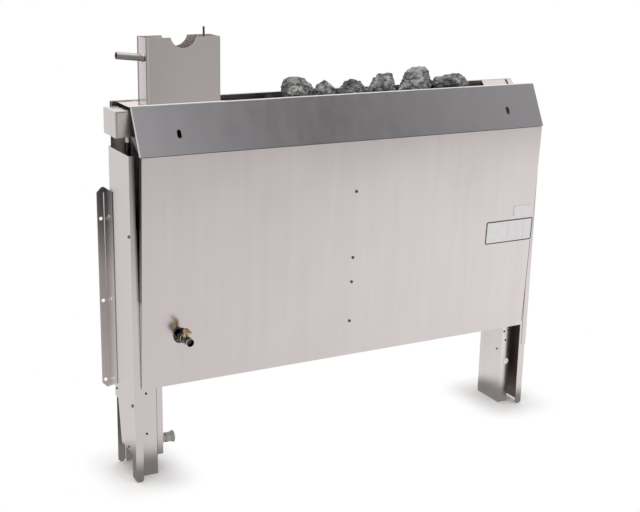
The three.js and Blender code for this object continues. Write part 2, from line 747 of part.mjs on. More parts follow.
// The left post's web is cut out between its front and back foot. The right one's runs down to the floor.
function addLegPost(side, label) {
  const postFace = postFaceAt(side);
  const holes = COVER_SCREWS.map(({ depth, height }) => [COVER_FRONT + depth, COVER_BOTTOM + height])
    .filter(([, height]) => height < POST_TOP - screwHole)
    .map(([depth, height]) => circle(depth, height, screwHole));
  const arch = [
    [postFront + ARCH_INSET, FOOT_CHAMFER],
    [postFront + ARCH_INSET, ARCH_HEIGHT],
    [postBack - ARCH_BACK_INSET, ARCH_HEIGHT],
    [postBack - ARCH_SLOT_INSET, ARCH_SLOT_HEIGHT],
    [postBack, ARCH_SLOT_HEIGHT],
  ];
  const foot = side < 0 ? arch : [[postBack, FOOT_CHAMFER]];
  const web = outline(
    [
      [postFront, FOOT_CHAMFER],
      ...foot,
      [postBack, POST_TOP],
      [postFront, POST_TOP],
    ],
    holes,
  );
  const [x0, x1] = flangeX(side, postFace, POST_FLANGE);
  const flange = footFlange(x0, x1, 0, POST_TOP);
  const post = join(
    plateX(web, sheetLeft(side, postFace, SHEET), SHEET, COARSE),
    plateY(flange, postFront, SHEET),
    plateY(flange, postBack - SHEET, SHEET),
  );
  addPiece(`leg_post_${label}`, post, BRUSHED_STEEL);
}

// A channel with its web at one X, its flanges running to the side that is given.
function channelLeg(web, flange, frontHoles = []) {
  const [x0, x1] = flange > 0 ? [web, web + flange] : [web + flange, web];
  const webLeft = flange > 0 ? web : web - SHEET;
  return join(
    block(webLeft, webLeft + SHEET, INNER_LEG_FRONT, innerLegBack, 0, innerLegTop),
    plateY(rectangle(x0, 0, x1, innerLegTop, frontHoles), INNER_LEG_FRONT, SHEET),
    block(x0, x1, innerLegBack - SHEET, innerLegBack, 0, innerLegTop),
  );
}

function addInnerLegs() {
  addPiece("inner_leg_left", channelLeg(leftLegWeb, -LEFT_LEG_FLANGE), BRUSHED_STEEL);
  const plugX = rightLegWeb + PLUG_INSET;
  const holeDiameter = PLUG_DIAMETER - 2 * PLUG_RIM;
  const hole = circle(plugX, PLUG_HEIGHT, holeDiameter);
  addPiece("inner_leg_right", channelLeg(rightLegWeb, RIGHT_LEG_FLANGE, [hole]), BRUSHED_STEEL);
  const stem = holeDiameter / 2 - HOLE_CLEARANCE;
  const rim = PLUG_DIAMETER / 2;
  const profile = [
    [0, -PLUG_STEM_LENGTH],
    [stem, -PLUG_STEM_LENGTH],
    [stem, 0],
    [rim, 0],
    [rim - PLUG_CROWN / 2, PLUG_CROWN / 2],
    [0, PLUG_CROWN],
  ];
  const seat = [plugX, INNER_LEG_FRONT - GAP, PLUG_HEIGHT];
  const out = [plugX, INNER_LEG_FRONT - GAP - 1, PLUG_HEIGHT];
  addPiece("hole_plug", turned(profile, seat, out), WHITE_PLASTIC);
}

function addRails() {
  const left = -(postFaceAt(-1) - SHEET - GAP);
  const length = postFaceAt(1) - SHEET - GAP - left;
  const front = folded(
    [
      [railFront, railBottom + RAIL_HEIGHT],
      [railFront, railBottom],
      [railFront + RAIL_DEPTH, railBottom],
    ],
    SHEET,
  );
  addPiece("front_bottom_rail", plateX(front, left, length), BRIGHT_STEEL);
  const rear = folded(
    [
      [railBack - RAIL_DEPTH, railBottom],
      [railBack, railBottom],
      [railBack, railBottom + RAIL_HEIGHT],
    ],
    SHEET,
  );
  addPiece("rear_bottom_rail", plateX(rear, left, length), BRIGHT_STEEL);
}

// An L-shaped angle: one leg lies along the end cover, the other one against the wall.
function addWallBracket(side, label) {
  const top = BRACKET_BOTTOM + BRACKET_HEIGHT;
  const front = wallFace - BRACKET_SIDE_WIDTH;
  const inside = coverFaceAt(side) + GAP;
  const outside = inside + BRACKET_WALL_WIDTH;
  const holeHeights = [];
  for (let i = 0; i < BRACKET_HOLES; i += 1) {
    holeHeights.push(BRACKET_BOTTOM + BRACKET_HOLE_FIRST + i * BRACKET_HOLE_PITCH);
  }
  const sideHoles = holeHeights.map((height) =>
    circle(wallFace - SIDE_HOLE_DEPTH, height + SIDE_HOLE_RISE, BRACKET_HOLE_DIAMETER),
  );
  const wallHoles = holeHeights.map((height) =>
    circle(side * (outside - WALL_HOLE_INSET), height, BRACKET_HOLE_DIAMETER),
  );
  const sideLeg = outline(
    [
      [front, BRACKET_BOTTOM + BRACKET_RISE],
      [wallFace, BRACKET_BOTTOM],
      [wallFace, top],
      [front, top],
    ],
    sideHoles,
  );
  const wallLeg = outline(
    [
      [side * inside, BRACKET_BOTTOM],
      [side * (outside - BRACKET_CHAMFER), BRACKET_BOTTOM],
      [side * outside, BRACKET_BOTTOM + BRACKET_CHAMFER],
      [side * outside, top - BRACKET_CHAMFER],
      [side * (outside - BRACKET_CHAMFER), top],
      [side * inside, top],
    ],
    wallHoles,
  );
  const bracket = join(
    plateX(sideLeg, sheetLeft(side, inside + SHEET, SHEET), SHEET, COARSE),
    plateY(wallLeg, wallFace - SHEET, SHEET, COARSE),
  );
  addPiece(`wall_bracket_${label}`, bracket, BRUSHED_STEEL);
}

function addChamber() {
  const left = chamberLeft;
  const right = chamberRight;
  const frontProfile = folded(
    [
      [LINER_FRONT, chamberBottom],
      [LINER_FRONT, chamberTop],
      [hoodBack + SHEET, chamberTop],
    ].reverse(),
    THIN_SHEET,
  );
  const rearTop = hoodTop - REAR_LINER_DROP;
  addPiece("front_liner", plateX(frontProfile, left, right - left), BRIGHT_STEEL);
  const rear = block(left, right, rearLinerBack - THIN_SHEET, rearLinerBack, chamberBottom, rearTop);
  addPiece("rear_liner", rear, BRIGHT_STEEL);

  const ledgeTop = grateBottom - GAP;
  const ends = [
    { name: "chamber_end_left", face: left, ledge: [left, left + SHEET + LEDGE_WIDTH], holes: [] },
    {
      name: "chamber_end_right",
      face: right - SHEET,
      ledge: [right - SHEET - LEDGE_WIDTH, right],
      holes: elementHoles(),
    },
  ];
  ends.forEach(({ name, face, ledge, holes }) => {
    const shape = rectangle(chamberFront, chamberBottom, chamberBack, rearTop, holes);
    const shelf = block(...ledge, chamberFront, chamberBack, ledgeTop - SHEET, ledgeTop);
    addPiece(name, join(plateX(shape, face, SHEET, COARSE), shelf), BRIGHT_STEEL);
  });

  const supportX = left + (right - left) * SUPPORT_POSITION;
  const support = rectangle(chamberFront, chamberBottom, chamberBack, ledgeTop, elementHoles());
  addPiece("element_support", plateX(support, supportX, SHEET, COARSE), BRIGHT_STEEL);
}

function elementHeights() {
  const heights = [];
  for (let i = 0; i < ELEMENT_COUNT; i += 1) {
    const low = ELEMENT_LOWEST + i * ELEMENT_PITCH;
    heights.push([low, low + ELEMENT_SPREAD]);
  }
  return heights;
}

function elementHoles() {
  const bore = ELEMENT_DIAMETER + 2 * HOLE_CLEARANCE;
  return elementHeights()
    .flat()
    .map((height) => circle(chamberMiddle, height, bore));
}

function addHeatingElements() {
  const tail = chamberRight + ELEMENT_TAIL;
  const bend = chamberLeft + SHEET + ELEMENT_BEND_CLEARANCE;
  elementHeights().forEach(([low, high], i) => {
    const route = [
      [tail, chamberMiddle, low],
      [bend, chamberMiddle, low],
      [bend, chamberMiddle, high],
      [tail, chamberMiddle, high],
    ];
    const radius = ELEMENT_SPREAD / 2 - 1;
    addPiece(`heating_element_${i + 1}`, bentRod(ELEMENT_DIAMETER, route, radius), ELEMENT_STEEL);
  });
}

function addStoneGrate() {
  const left = chamberLeft + SHEET + GAP;
  const right = chamberRight - SHEET - GAP;
  const pitch = (right - left - GRATE_BAR_WIDTH) / GRATE_BARS;
  const gaps = [];
  for (let i = 0; i < GRATE_BARS; i += 1) {
    const start = left + GRATE_BAR_WIDTH + i * pitch;
    const end = start + pitch - GRATE_BAR_WIDTH;
    const front = chamberFront + GRATE_RIM;
    gaps.push(block(start, end, front, chamberBack - GRATE_RIM, grateBottom - OVERRUN, grateTop + OVERRUN));
  }
  const plate = block(left, right, chamberFront, chamberBack, grateBottom, grateTop);
  addPiece("stone_grate", cut(plate, ...gaps), ELEMENT_STEEL);
}

// Numbers between 0 and 1 that are always the same for one start.
function numbersFrom(start) {
  let state = start;
  return () => {
    state = (state * 16807) % 2147483647;
    return state / 2147483647;
  };
}

// A broken stone: flat faces in fixed but irregular directions around a middle, with a flat underside.
function stoneGeometry(width, depth, height, lean, shape) {
  const nearest = 0.55; // a face's distance from the middle, as a share of the longest reach
  const farthest = 0.85;
  const least = 0.05; // a face that is turned further away than this cuts nothing off
  const next = numbersFrom(shape * 7919);
  const facets = [{ normal: new THREE.Vector3(0, 0, -1), distance: nearest }];
  for (let i = 0; i < STONE_FACETS; i += 1) {
    const normal = new THREE.Vector3(next() - 0.5, next() - 0.5, next() - 0.5).normalize();
    facets.push({ normal, distance: nearest + (farthest - nearest) * next() });
  }
  const geometry = new THREE.IcosahedronGeometry(1, STONE_DETAIL);
  const position = geometry.attributes.position;
  const place = new THREE.Vector3();
  for (let i = 0; i < position.count; i += 1) {
    place.fromBufferAttribute(position, i).normalize();
    const reaches = facets.map(({ normal, distance }) => distance / Math.max(place.dot(normal), least));
    place.multiplyScalar(Math.min(1, ...reaches));
    position.setXYZ(i, place.x + lean * place.z, place.y, place.z);
  }
  geometry.computeBoundingBox();
  const size = geometry.boundingBox.getSize(new THREE.Vector3());
  const low = geometry.boundingBox.min;
  geometry.translate(-low.x, -low.y - size.y / 2, -low.z);
  return geometry.scale(width / size.x, depth / size.y, height / size.z);
}

function addStones() {
  const room = chamberBack - chamberFront - 2 * STONE_CLEARANCE;
  let x = chamberLeft + STONE_ROW_START;
  STONES.forEach(({ width, height, space, lean, shape }, i) => {
    x += space;
    const stone = stoneGeometry(width, Math.min(room, width), height, lean, shape);
    addPiece(`stone_${i + 1}`, stone.translate(x, chamberMiddle, grateTop + GAP), STONE_GREY);
    x += width;
  });
}

// The plate over the steam tank, with a collar for the steam head and a strip that holds the probe.
function addTopCover() {
  const left = -panelEnd;
  const right = headRight + TOP_COVER_MARGIN;
  const inset = THIN_SHEET + GAP;
  const collar = [headLeft + inset, HEAD_FRONT + inset, headRight - inset, headBack - inset];
  const [c0, d0, c1, d1] = collar;
  const mouth = rectangle(c0 + SHEET, d0 + SHEET, c1 - SHEET, d1 - SHEET);
  const plate = plateZ(
    rectangle(left, hoodBack + SHEET, right, hemFront - GAP, [mouth]),
    topCoverBottom,
    THIN_SHEET,
  );
  const wall = plateZ(rectangle(...collar, [mouth]), topCoverBottom, THIN_SHEET + COLLAR_HEIGHT);
  const probeX = headRight - PROBE_INSET;
  const probeHole = circle(probeX, (HEAD_FRONT + headBack) / 2, PROBE_DIAMETER + 2 * HOLE_CLEARANCE);
  const half = PROBE_STRIP / 2;
  const strip = plateZ(
    rectangle(probeX - half, d0 + SHEET / 2, probeX + half, d1 - SHEET / 2, [probeHole]),
    topCoverBottom,
    THIN_SHEET,
    COARSE,
  );
  addPiece("top_cover", join(plate, wall, strip), BRIGHT_STEEL);
}

function addSteamHead() {
  const inner = [
    headLeft + THIN_SHEET,
    headRight - THIN_SHEET,
    HEAD_FRONT + THIN_SHEET,
    headBack - THIN_SHEET,
  ];
  const shell = block(headLeft, headRight, HEAD_FRONT, headBack, headBottom, headTop);
  const hollow = block(...inner, headBottom - OVERRUN, headTop + OVERRUN);
  const notchX = headLeft + NOTCH_INSET;
  const notchZ = headTop - NOTCH_DEPTH + NOTCH_RADIUS;
  const notch = rod(
    2 * NOTCH_RADIUS,
    [notchX, HEAD_FRONT - OVERRUN, notchZ],
    [notchX, headBack + OVERRUN, notchZ],
    ROUND * 4,
  );
  const rise = THREE.MathUtils.degToRad(INLET_RISE);
  const along = [-Math.cos(rise), 0, Math.sin(rise)];
  const inletPoint = (distance) => [
    headLeft + along[0] * distance,
    HEAD_FRONT + INLET_DEPTH,
    headTop - INLET_DROP + along[2] * distance,
  ];
  const inletHole = rod(INLET_DIAMETER + 2 * HOLE_CLEARANCE, inletPoint(-OVERRUN), inletPoint(OVERRUN));
  addPiece("steam_head", cut(shell, hollow, notch, inletHole), BRUSHED_STEEL);
  const tube = pipe(INLET_DIAMETER, INLET_BORE, inletPoint(-OVERRUN), inletPoint(INLET_LENGTH));
  addPiece("water_inlet_tube", tube, BRIGHT_STEEL);
  const probe = [headRight - PROBE_INSET, (HEAD_FRONT + headBack) / 2];
  const probeTop = headTop + PROBE_ABOVE;
  const probeRod = rod(PROBE_DIAMETER, [...probe, probeTop - PROBE_LENGTH], [...probe, probeTop], COARSE * 2);
  addPiece("probe_rod", probeRod, COPPER);
}

function addSteamTank() {
  const shell = block(tankLeft, tankRight, TANK_FRONT, tankBack, tankFloor, tankTop);
  const rim = block(
    tankLeft - TANK_RIM,
    tankRight + TANK_RIM,
    TANK_FRONT - TANK_RIM,
    tankBack + TANK_RIM,
    tankTop - SHEET,
    tankTop,
  );
  const hollow = block(
    tankLeft + SHEET,
    tankRight - SHEET,
    TANK_FRONT + SHEET,
    tankBack - SHEET,
    tankFloor + SHEET,
    tankTop + OVERRUN,
  );
  const bore = ELEMENT_DIAMETER + 2 * HOLE_CLEARANCE;
  const coldEnds = TANK_ELEMENT_DEPTHS.map((depth) => {
    const y = TANK_FRONT + depth;
    const from = [tankLeft - OVERRUN, y, coldEndHeight];
    return rod(bore, from, [tankLeft + OVERRUN, y, coldEndHeight], COARSE * 2);
  });
  const drain = rod(
    PIPE_BORE,
    [tapX, TANK_FRONT - OVERRUN, TAP_HEIGHT],
    [tapX, TANK_FRONT + OVERRUN, TAP_HEIGHT],
    COARSE * 2,
  );
  addPiece("steam_tank", cut(join(shell, rim), hollow, ...coldEnds, drain), BRIGHT_STEEL);

  const out = tankLeft - TANK_ELEMENT_OUT;
  const inside = tankLeft + TANK_ELEMENT_INSET;
  const foot = tankFloor + TANK_ELEMENT_FOOT;
  const [near, far] = TANK_ELEMENT_DEPTHS.map((depth) => TANK_FRONT + depth);
  const route = [
    [out, near, coldEndHeight],
    [inside, near, coldEndHeight],
    [inside, near, foot],
    [inside, far, foot],
    [inside, far, coldEndHeight],
    [out, far, coldEndHeight],
  ];
  addPiece("tank_element", bentRod(ELEMENT_DIAMETER, route, TANK_ELEMENT_BEND), ELEMENT_STEEL);
}

function addTerminalCover() {
  const right = terminalLeft + TERMINAL_TOP_WIDTH;
  const back = TERMINAL_FRONT + TERMINAL_DEPTH;
  const face = outline([
    [terminalLeft, terminalBottom],
    [terminalLeft + TERMINAL_BOTTOM_WIDTH, terminalBottom],
    [right, terminalTop],
    [terminalLeft, terminalTop],
  ]);
  const shell = plateY(face, TERMINAL_FRONT, TERMINAL_DEPTH);
  const hollow = block(
    terminalLeft + THIN_SHEET,
    right + OVERRUN,
    TERMINAL_FRONT + THIN_SHEET,
    back - THIN_SHEET,
    terminalBottom - OVERRUN,
    terminalTop - THIN_SHEET,
  );
  const middle = (TERMINAL_FRONT + back) / 2;
  const tongue = block(
    right - SHEET,
    tankLeft - GAP,
    middle - TONGUE_WIDTH / 2,
    middle + TONGUE_WIDTH / 2,
    terminalTop - THIN_SHEET,
    terminalTop,
  );
  addPiece("terminal_cover", join(cut(shell, hollow), tongue), BRUSHED_STEEL);
}

// The lead from the tank element's near end, through its sleeve and down to the connection box.
function addLead() {
  const x = tankLeft - TANK_ELEMENT_OUT + ELEMENT_DIAMETER / 2;
  const y = TANK_FRONT + TANK_ELEMENT_DEPTHS[0];
  const top = coldEndHeight - ELEMENT_DIAMETER / 2 - GAP;
  const sleeveTop = terminalBottom + SLEEVE_HIDDEN;
  const sleeveBottom = sleeveTop - SLEEVE_LENGTH;
  const runX = -panelEnd - LEAD_OUT;
  const entryY = BOX_FRONT + LEAD_ENTRY_DEPTH;
  const route = [
    [x, y, top],
    [x, y, sleeveBottom - LEAD_STRAIGHT],
    [runX, y, sleeveBottom - LEAD_STRAIGHT - LEAD_SHIFT],
    [runX, y, crossing],
    [boxMiddle, entryY, crossing],
    [boxMiddle, entryY, boxTop - THIN_SHEET - WIRE_INSIDE_BOX],
  ];
  addPiece("heater_lead", bentRod(LEAD_DIAMETER, route, LEAD_BEND, 3), RED_SILICONE);
  const bore = LEAD_DIAMETER + 2 * GAP;
  const sleeve = pipe(SLEEVE_DIAMETER, bore, [x, y, sleeveBottom], [x, y, sleeveTop]);
  addPiece("ceramic_sleeve", sleeve, CERAMIC);
}

function addConnectionBox() {
  const shell = block(boxLeft, boxRight, BOX_FRONT, boxBack, BOX_BOTTOM, boxTop);
  const hollow = block(
    boxLeft + THIN_SHEET,
    boxRight - THIN_SHEET,
    BOX_FRONT - OVERRUN,
    boxBack - THIN_SHEET,
    BOX_BOTTOM + THIN_SHEET,
    boxTop - THIN_SHEET,
  );
  const glandY = BOX_FRONT + GLAND_DEPTH;
  const glandZ = BOX_BOTTOM + GLAND_HEIGHT;
  const glandHole = rod(
    GLAND_THREAD_DIAMETER + 2 * HOLE_CLEARANCE,
    [boxRight - OVERRUN, glandY, glandZ],
    [boxRight + OVERRUN, glandY, glandZ],
  );
  const entries = [
    { y: BOX_FRONT + LEAD_ENTRY_DEPTH, diameter: LEAD_DIAMETER },
    { y: BOX_FRONT + LOOM_ENTRY_DEPTH, diameter: LOOM_DIAMETER },
  ].map(({ y, diameter }) => {
    const bore = diameter + 2 * HOLE_CLEARANCE;
    return rod(bore, [boxMiddle, y, boxTop - OVERRUN], [boxMiddle, y, boxTop + OVERRUN], COARSE * 2);
  });
  addPiece("connection_box", cut(shell, hollow, glandHole, ...entries), BRUSHED_STEEL);
  const lidFront = BOX_FRONT - GAP - THIN_SHEET;
  const lid = block(boxLeft, boxRight, lidFront, BOX_FRONT - GAP, BOX_BOTTOM, boxTop);
  addPiece("connection_box_lid", lid, BRUSHED_STEEL);

  const blockX = boxMiddle - BLOCK_WIDTH / 2;
  const blockBack = boxBack - THIN_SHEET - GAP;
  const blockBottom = BOX_BOTTOM + BLOCK_UP;
  const pitch = BLOCK_HEIGHT / BLOCK_WAYS;
  const body = block(
    blockX,
    blockX + BLOCK_WIDTH,
    blockBack - BLOCK_DEPTH,
    blockBack,
    blockBottom,
    blockBottom + BLOCK_HEIGHT,
  );
  const grooves = [];
  const front = blockBack - BLOCK_DEPTH;
  const half = BLOCK_GROOVE_WIDTH / 2;
  for (let i = 1; i < BLOCK_WAYS; i += 1) {
    const z = blockBottom + i * pitch;
    const across = [blockX - OVERRUN, blockX + BLOCK_WIDTH + OVERRUN];
    grooves.push(block(...across, front - OVERRUN, front + BLOCK_GROOVE_DEPTH, z - half, z + half));
  }
  addPiece("terminal_block", cut(body, ...grooves), BLACK_PLASTIC);

  const thread = GLAND_THREAD_DIAMETER / 2;
  const collar = GLAND_COLLAR_DIAMETER / 2;
  const bore = GLAND_BORE / 2;
  const flangeStart = -THIN_SHEET - GAP - GLAND_FLANGE;
  const neck = GLAND_BODY_LENGTH - GLAND_NECK;
  const bodyProfile = [
    [bore, flangeStart],
    [collar, flangeStart],
    [collar, flangeStart + GLAND_FLANGE],
    [thread, flangeStart + GLAND_FLANGE],
    [thread, GAP],
    [collar, GAP],
    [collar, neck],
    [thread, neck],
    [thread, GLAND_BODY_LENGTH],
    [bore, GLAND_BODY_LENGTH],
    [bore, flangeStart],
  ];
  const glandRoot = [boxRight, glandY, glandZ];
  const glandOut = [boxRight + 1, glandY, glandZ];
  addPiece("cable_gland", turned(bodyProfile, glandRoot, glandOut), GREY_PLASTIC);
  const nutStart = GLAND_BODY_LENGTH + GAP;
  const nutEnd = nutStart + GLAND_NUT_LENGTH;
  const rim = GLAND_NUT_DIAMETER / 2;
  const nutProfile = [
    [bore, nutStart],
    [collar, nutStart],
    [collar, nutEnd - GLAND_NUT_RIM - GLAND_NUT_TAPER],
    [rim, nutEnd - GLAND_NUT_RIM],
    [rim, nutEnd],
    [bore, nutEnd],
    [bore, nutStart],
  ];
  addPiece("gland_nut", turned(nutProfile, glandRoot, glandOut), GREY_PLASTIC);
}

// The wires from the connection box to the heating elements, in one bundle behind the tank and the chamber.
function addWiringLoom() {
  const startY = BOX_FRONT + LOOM_ENTRY_DEPTH;
  const behind = wallFront - REAR_AIR_GAP / 2;
  const endX = chamberRight + LOOM_PAST_CHAMBER;
  const route = [
    [boxMiddle, startY, boxTop - THIN_SHEET - WIRE_INSIDE_BOX],
    [boxMiddle, startY, crossing],
    [boxMiddle, behind, crossing],
    [boxMiddle, behind, LOOM_HEIGHT],
    [endX, behind, LOOM_HEIGHT],
    [endX, behind, LOOM_END_HEIGHT],
    [endX, chamberMiddle + LOOM_END_GAP, LOOM_END_HEIGHT],
  ];
  addPiece("wiring_loom", bentRod(LOOM_DIAMETER, route, LOOM_BEND, 4), WIRE_BLACK);
}

// The tap lies along its own Y axis, with the panel's front face at zero and the open nozzle towards -Y.
function addDrainTap() {
  const bodyStart = -(PIPE_REACH + GAP);
  const hexEnd = bodyStart - TAP_HEX_LENGTH;
  const bodyEnd = hexEnd - TAP_BODY_LENGTH;
  const mouth = -tapLength;
  const pipeStart = TANK_FRONT - tapFront - GAP;
  addPiece("drain_pipe", pipe(PIPE_DIAMETER, PIPE_BORE, [0, pipeStart, 0], [0, -PIPE_REACH, 0]), CHROME, tap);

  const hexDiameter = TAP_HEX_FLATS / Math.cos(Math.PI / 6);
  const overlap = 1; // how far the joined lengths run into each other
  const body = join(
    rod(hexDiameter, [0, bodyStart, 0], [0, hexEnd, 0], 6),
    rod(TAP_BODY_DIAMETER, [0, hexEnd + overlap, 0], [0, bodyEnd, 0]),
    rod(TAP_NOZZLE_DIAMETER, [0, bodyEnd + overlap, 0], [0, mouth, 0]),
    rod(BOSS_DIAMETER, [0, stemPlace, 0], [0, stemPlace, BOSS_HEIGHT], ROUND * 2),
  );
  const waterway = rod(PIPE_BORE, [0, bodyStart + OVERRUN, 0], [0, mouth - OVERRUN, 0]);
  const cavity = new THREE.SphereGeometry(ballCavity, 16, 10).translate(0, stemPlace, 0);
  const stemHole = rod(
    STEM_DIAMETER + 2 * HOLE_CLEARANCE,
    [0, stemPlace, 0],
    [0, stemPlace, BOSS_HEIGHT + OVERRUN],
    12,
  );
  const nozzle = rod(TAP_MOUTH_DIAMETER, [0, mouth + TAP_MOUTH_DEPTH, 0], [0, mouth - OVERRUN, 0]);
  addPiece("tap_body", cut(body, waterway, cavity, stemHole, nozzle), CHROME, tap);

  const sphere = new THREE.SphereGeometry(BALL_DIAMETER / 2, 16, 10).translate(0, stemPlace, 0);
  const through = rod(PIPE_BORE - 1, [0, stemPlace - BALL_DIAMETER, 0], [0, stemPlace + BALL_DIAMETER, 0]);
  addPiece("tap_ball", cut(sphere, through), BRIGHT_STEEL, tap);

  const stemBottom = BALL_DIAMETER / 2 + GAP;
  const hubBottom = BOSS_HEIGHT + GAP;
  const hubTop = hubBottom + HANDLE_THICKNESS;
  const half = HANDLE_WIDTH / 2;
  const handle = join(
    rod(STEM_DIAMETER, [0, stemPlace, stemBottom], [0, stemPlace, hubTop], 12),
    rod(HUB_DIAMETER, [0, stemPlace, hubBottom], [0, stemPlace, hubTop]),
    block(-half, half, stemPlace - HANDLE_LENGTH, stemPlace, hubBottom + HANDLE_STEP, hubTop),
  );
  addPiece("tap_handle", handle, BRASS, tap);
}

addFrontPanel();
addPlate("rating_plate", RATING_PLATE);
addPlate("small_plate", SMALL_PLATE);
addPanelStiffener();
addHood();
addRearWall();
[
  [-1, "left"],
  [1, "right"],
].forEach(([side, label]) => {
  addEndCover(side, label);
  addLegPost(side, label);
  addWallBracket(side, label);
});
addInnerLegs();
addRails();
addChamber();
addHeatingElements();
addStoneGrate();
addStones();
addTopCover();
addSteamHead();
addSteamTank();
addTerminalCover();
addLead();
addConnectionBox();
addWiringLoom();
addDrainTap();

// The origin lies on the floor, midway between the wall brackets and between the tap's mouth and the wall.
heater.position.x = (LEFT_END_OVERHANG - RIGHT_END_OVERHANG) / 2;
heater.position.y = -(tapFront - tapLength + wallFace) / 2;

export default heater;
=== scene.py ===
import json
import math

import bmesh
import bpy
from mathutils import Matrix, Vector, noise

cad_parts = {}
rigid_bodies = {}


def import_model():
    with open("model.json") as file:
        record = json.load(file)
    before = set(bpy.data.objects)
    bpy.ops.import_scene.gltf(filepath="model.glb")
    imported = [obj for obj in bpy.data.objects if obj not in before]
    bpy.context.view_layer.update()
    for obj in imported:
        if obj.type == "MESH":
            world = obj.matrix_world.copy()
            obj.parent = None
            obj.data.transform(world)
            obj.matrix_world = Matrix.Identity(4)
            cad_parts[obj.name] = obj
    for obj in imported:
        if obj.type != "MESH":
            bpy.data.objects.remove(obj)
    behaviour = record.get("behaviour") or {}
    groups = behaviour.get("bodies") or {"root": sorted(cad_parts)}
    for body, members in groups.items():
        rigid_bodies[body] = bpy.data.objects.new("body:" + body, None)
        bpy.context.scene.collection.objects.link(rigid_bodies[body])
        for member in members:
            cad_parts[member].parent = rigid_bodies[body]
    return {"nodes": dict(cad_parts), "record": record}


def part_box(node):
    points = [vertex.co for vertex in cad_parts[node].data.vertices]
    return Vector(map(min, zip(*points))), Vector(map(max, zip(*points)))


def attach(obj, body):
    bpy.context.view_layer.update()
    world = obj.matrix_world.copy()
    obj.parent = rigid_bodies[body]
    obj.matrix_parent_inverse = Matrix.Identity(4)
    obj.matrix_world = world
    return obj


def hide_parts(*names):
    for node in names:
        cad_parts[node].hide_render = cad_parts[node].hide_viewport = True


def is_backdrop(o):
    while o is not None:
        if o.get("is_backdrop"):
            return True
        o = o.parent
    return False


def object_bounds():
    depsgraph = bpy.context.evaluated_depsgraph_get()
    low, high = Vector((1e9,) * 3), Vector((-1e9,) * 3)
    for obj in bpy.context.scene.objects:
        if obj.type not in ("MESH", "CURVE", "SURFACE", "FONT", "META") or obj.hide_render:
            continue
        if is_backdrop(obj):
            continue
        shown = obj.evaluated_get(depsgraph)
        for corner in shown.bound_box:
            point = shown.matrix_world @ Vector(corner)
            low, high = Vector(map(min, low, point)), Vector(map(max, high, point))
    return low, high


for leftover in list(bpy.data.objects):
    bpy.data.objects.remove(leftover)
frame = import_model()
nodes = frame["nodes"]
cad_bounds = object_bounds()

# Camera, fitted to the photo
CAMERA_PLACE = Vector((-1.31152, -2.31090, 1.19954))
CAMERA_AZIMUTH = math.radians(-28.613)
CAMERA_ELEVATION = math.radians(15.993)
CAMERA_ROLL = math.radians(1.198)
CAMERA_LENS = 67.69
SENSOR_WIDTH = 36.0

# Stage
FLOOR_SIZE = 60.0
FLOOR_COLOUR = (0.88, 0.87, 0.86, 1.0)
WHITE = (1.0, 1.0, 1.0, 1.0)
SOFT_LIGHT = 0.88
LAMP_PLACE = Vector((-0.5, -0.2, 3.1))
LAMP_SIZE = 2.6
LAMP_POWER = 36.0
CARD_DISTANCE = 2.6
CARD_WIDTH = 12.0
CARD_HEIGHT = 6.0

# Where the feet stand on the floor
FEET_OUTSIDE = 0.517
FEET_INSIDE = 0.46
FEET_MIDDLE = 0.013
FEET_DEEP = 0.06

# Looks of the floor: two places or distances, and the share or brightness at each
FLOOR_WHITENS = (0.0, 0.10, 0.05, 1.0)
MIRRORED_AHEAD = (-3.6, -0.4, 0.57, 0.98)
MIRRORED_ACROSS = (-0.6, 2.4, 0.80, 1.14)
MIRRORED_BEHIND = (-0.1, 0.5, 0.0, 1.0)
# painted shadow near the feet, seen only in reflections:
MIRRORED_BY_FEET = (0.04, 0.13, 0.3, 1.0)
BRIGHTNESS_BEHIND = 0.77

# Edges
EDGE_ROUND = 0.0006
EDGE_SEGMENTS = 2
EDGE_ANGLE = math.radians(28)
SMOOTH_ANGLE = math.radians(38)
WELD_DISTANCE = 0.00001
STEPS = 48

# Directions
FRONT = Vector((0.0, -1.0, 0.0))
LEFT = Vector((-1.0, 0.0, 0.0))
RIGHT = Vector((1.0, 0.0, 0.0))
UP = Vector((0.0, 0.0, 1.0))

# The front panel, in millimetres: its left end and bottom edge in the part's frame, and its slope
PANEL_LEFT, PANEL_DEPTH, PANEL_BOTTOM = 501.75, 52.261, 216.0
PANEL_RISE, PANEL_LEAN = 504.0, 26.0
PANEL_OUT = Vector((0.0, -PANEL_RISE, -PANEL_LEAN)).normalized()
PANEL_UP = Vector((0.0, -PANEL_LEAN, PANEL_RISE)).normalized()
LEG_FACE = 31.6


def at(x, y, z):
    """A place from millimetres along the panel from its left end, behind its bottom edge and up."""
    return Vector((x - PANEL_LEFT, y - PANEL_DEPTH, z)) / 1000


def on_panel(x, out, up):
    """A place from millimetres along the panel, out from its face and up its slope."""
    return at(x, 0.0, PANEL_BOTTOM) + (PANEL_OUT * out + PANEL_UP * up) / 1000


# Node trees
NOISE_LOW, NOISE_HIGH = 0.3, 0.7  # most of a noise field lies between these


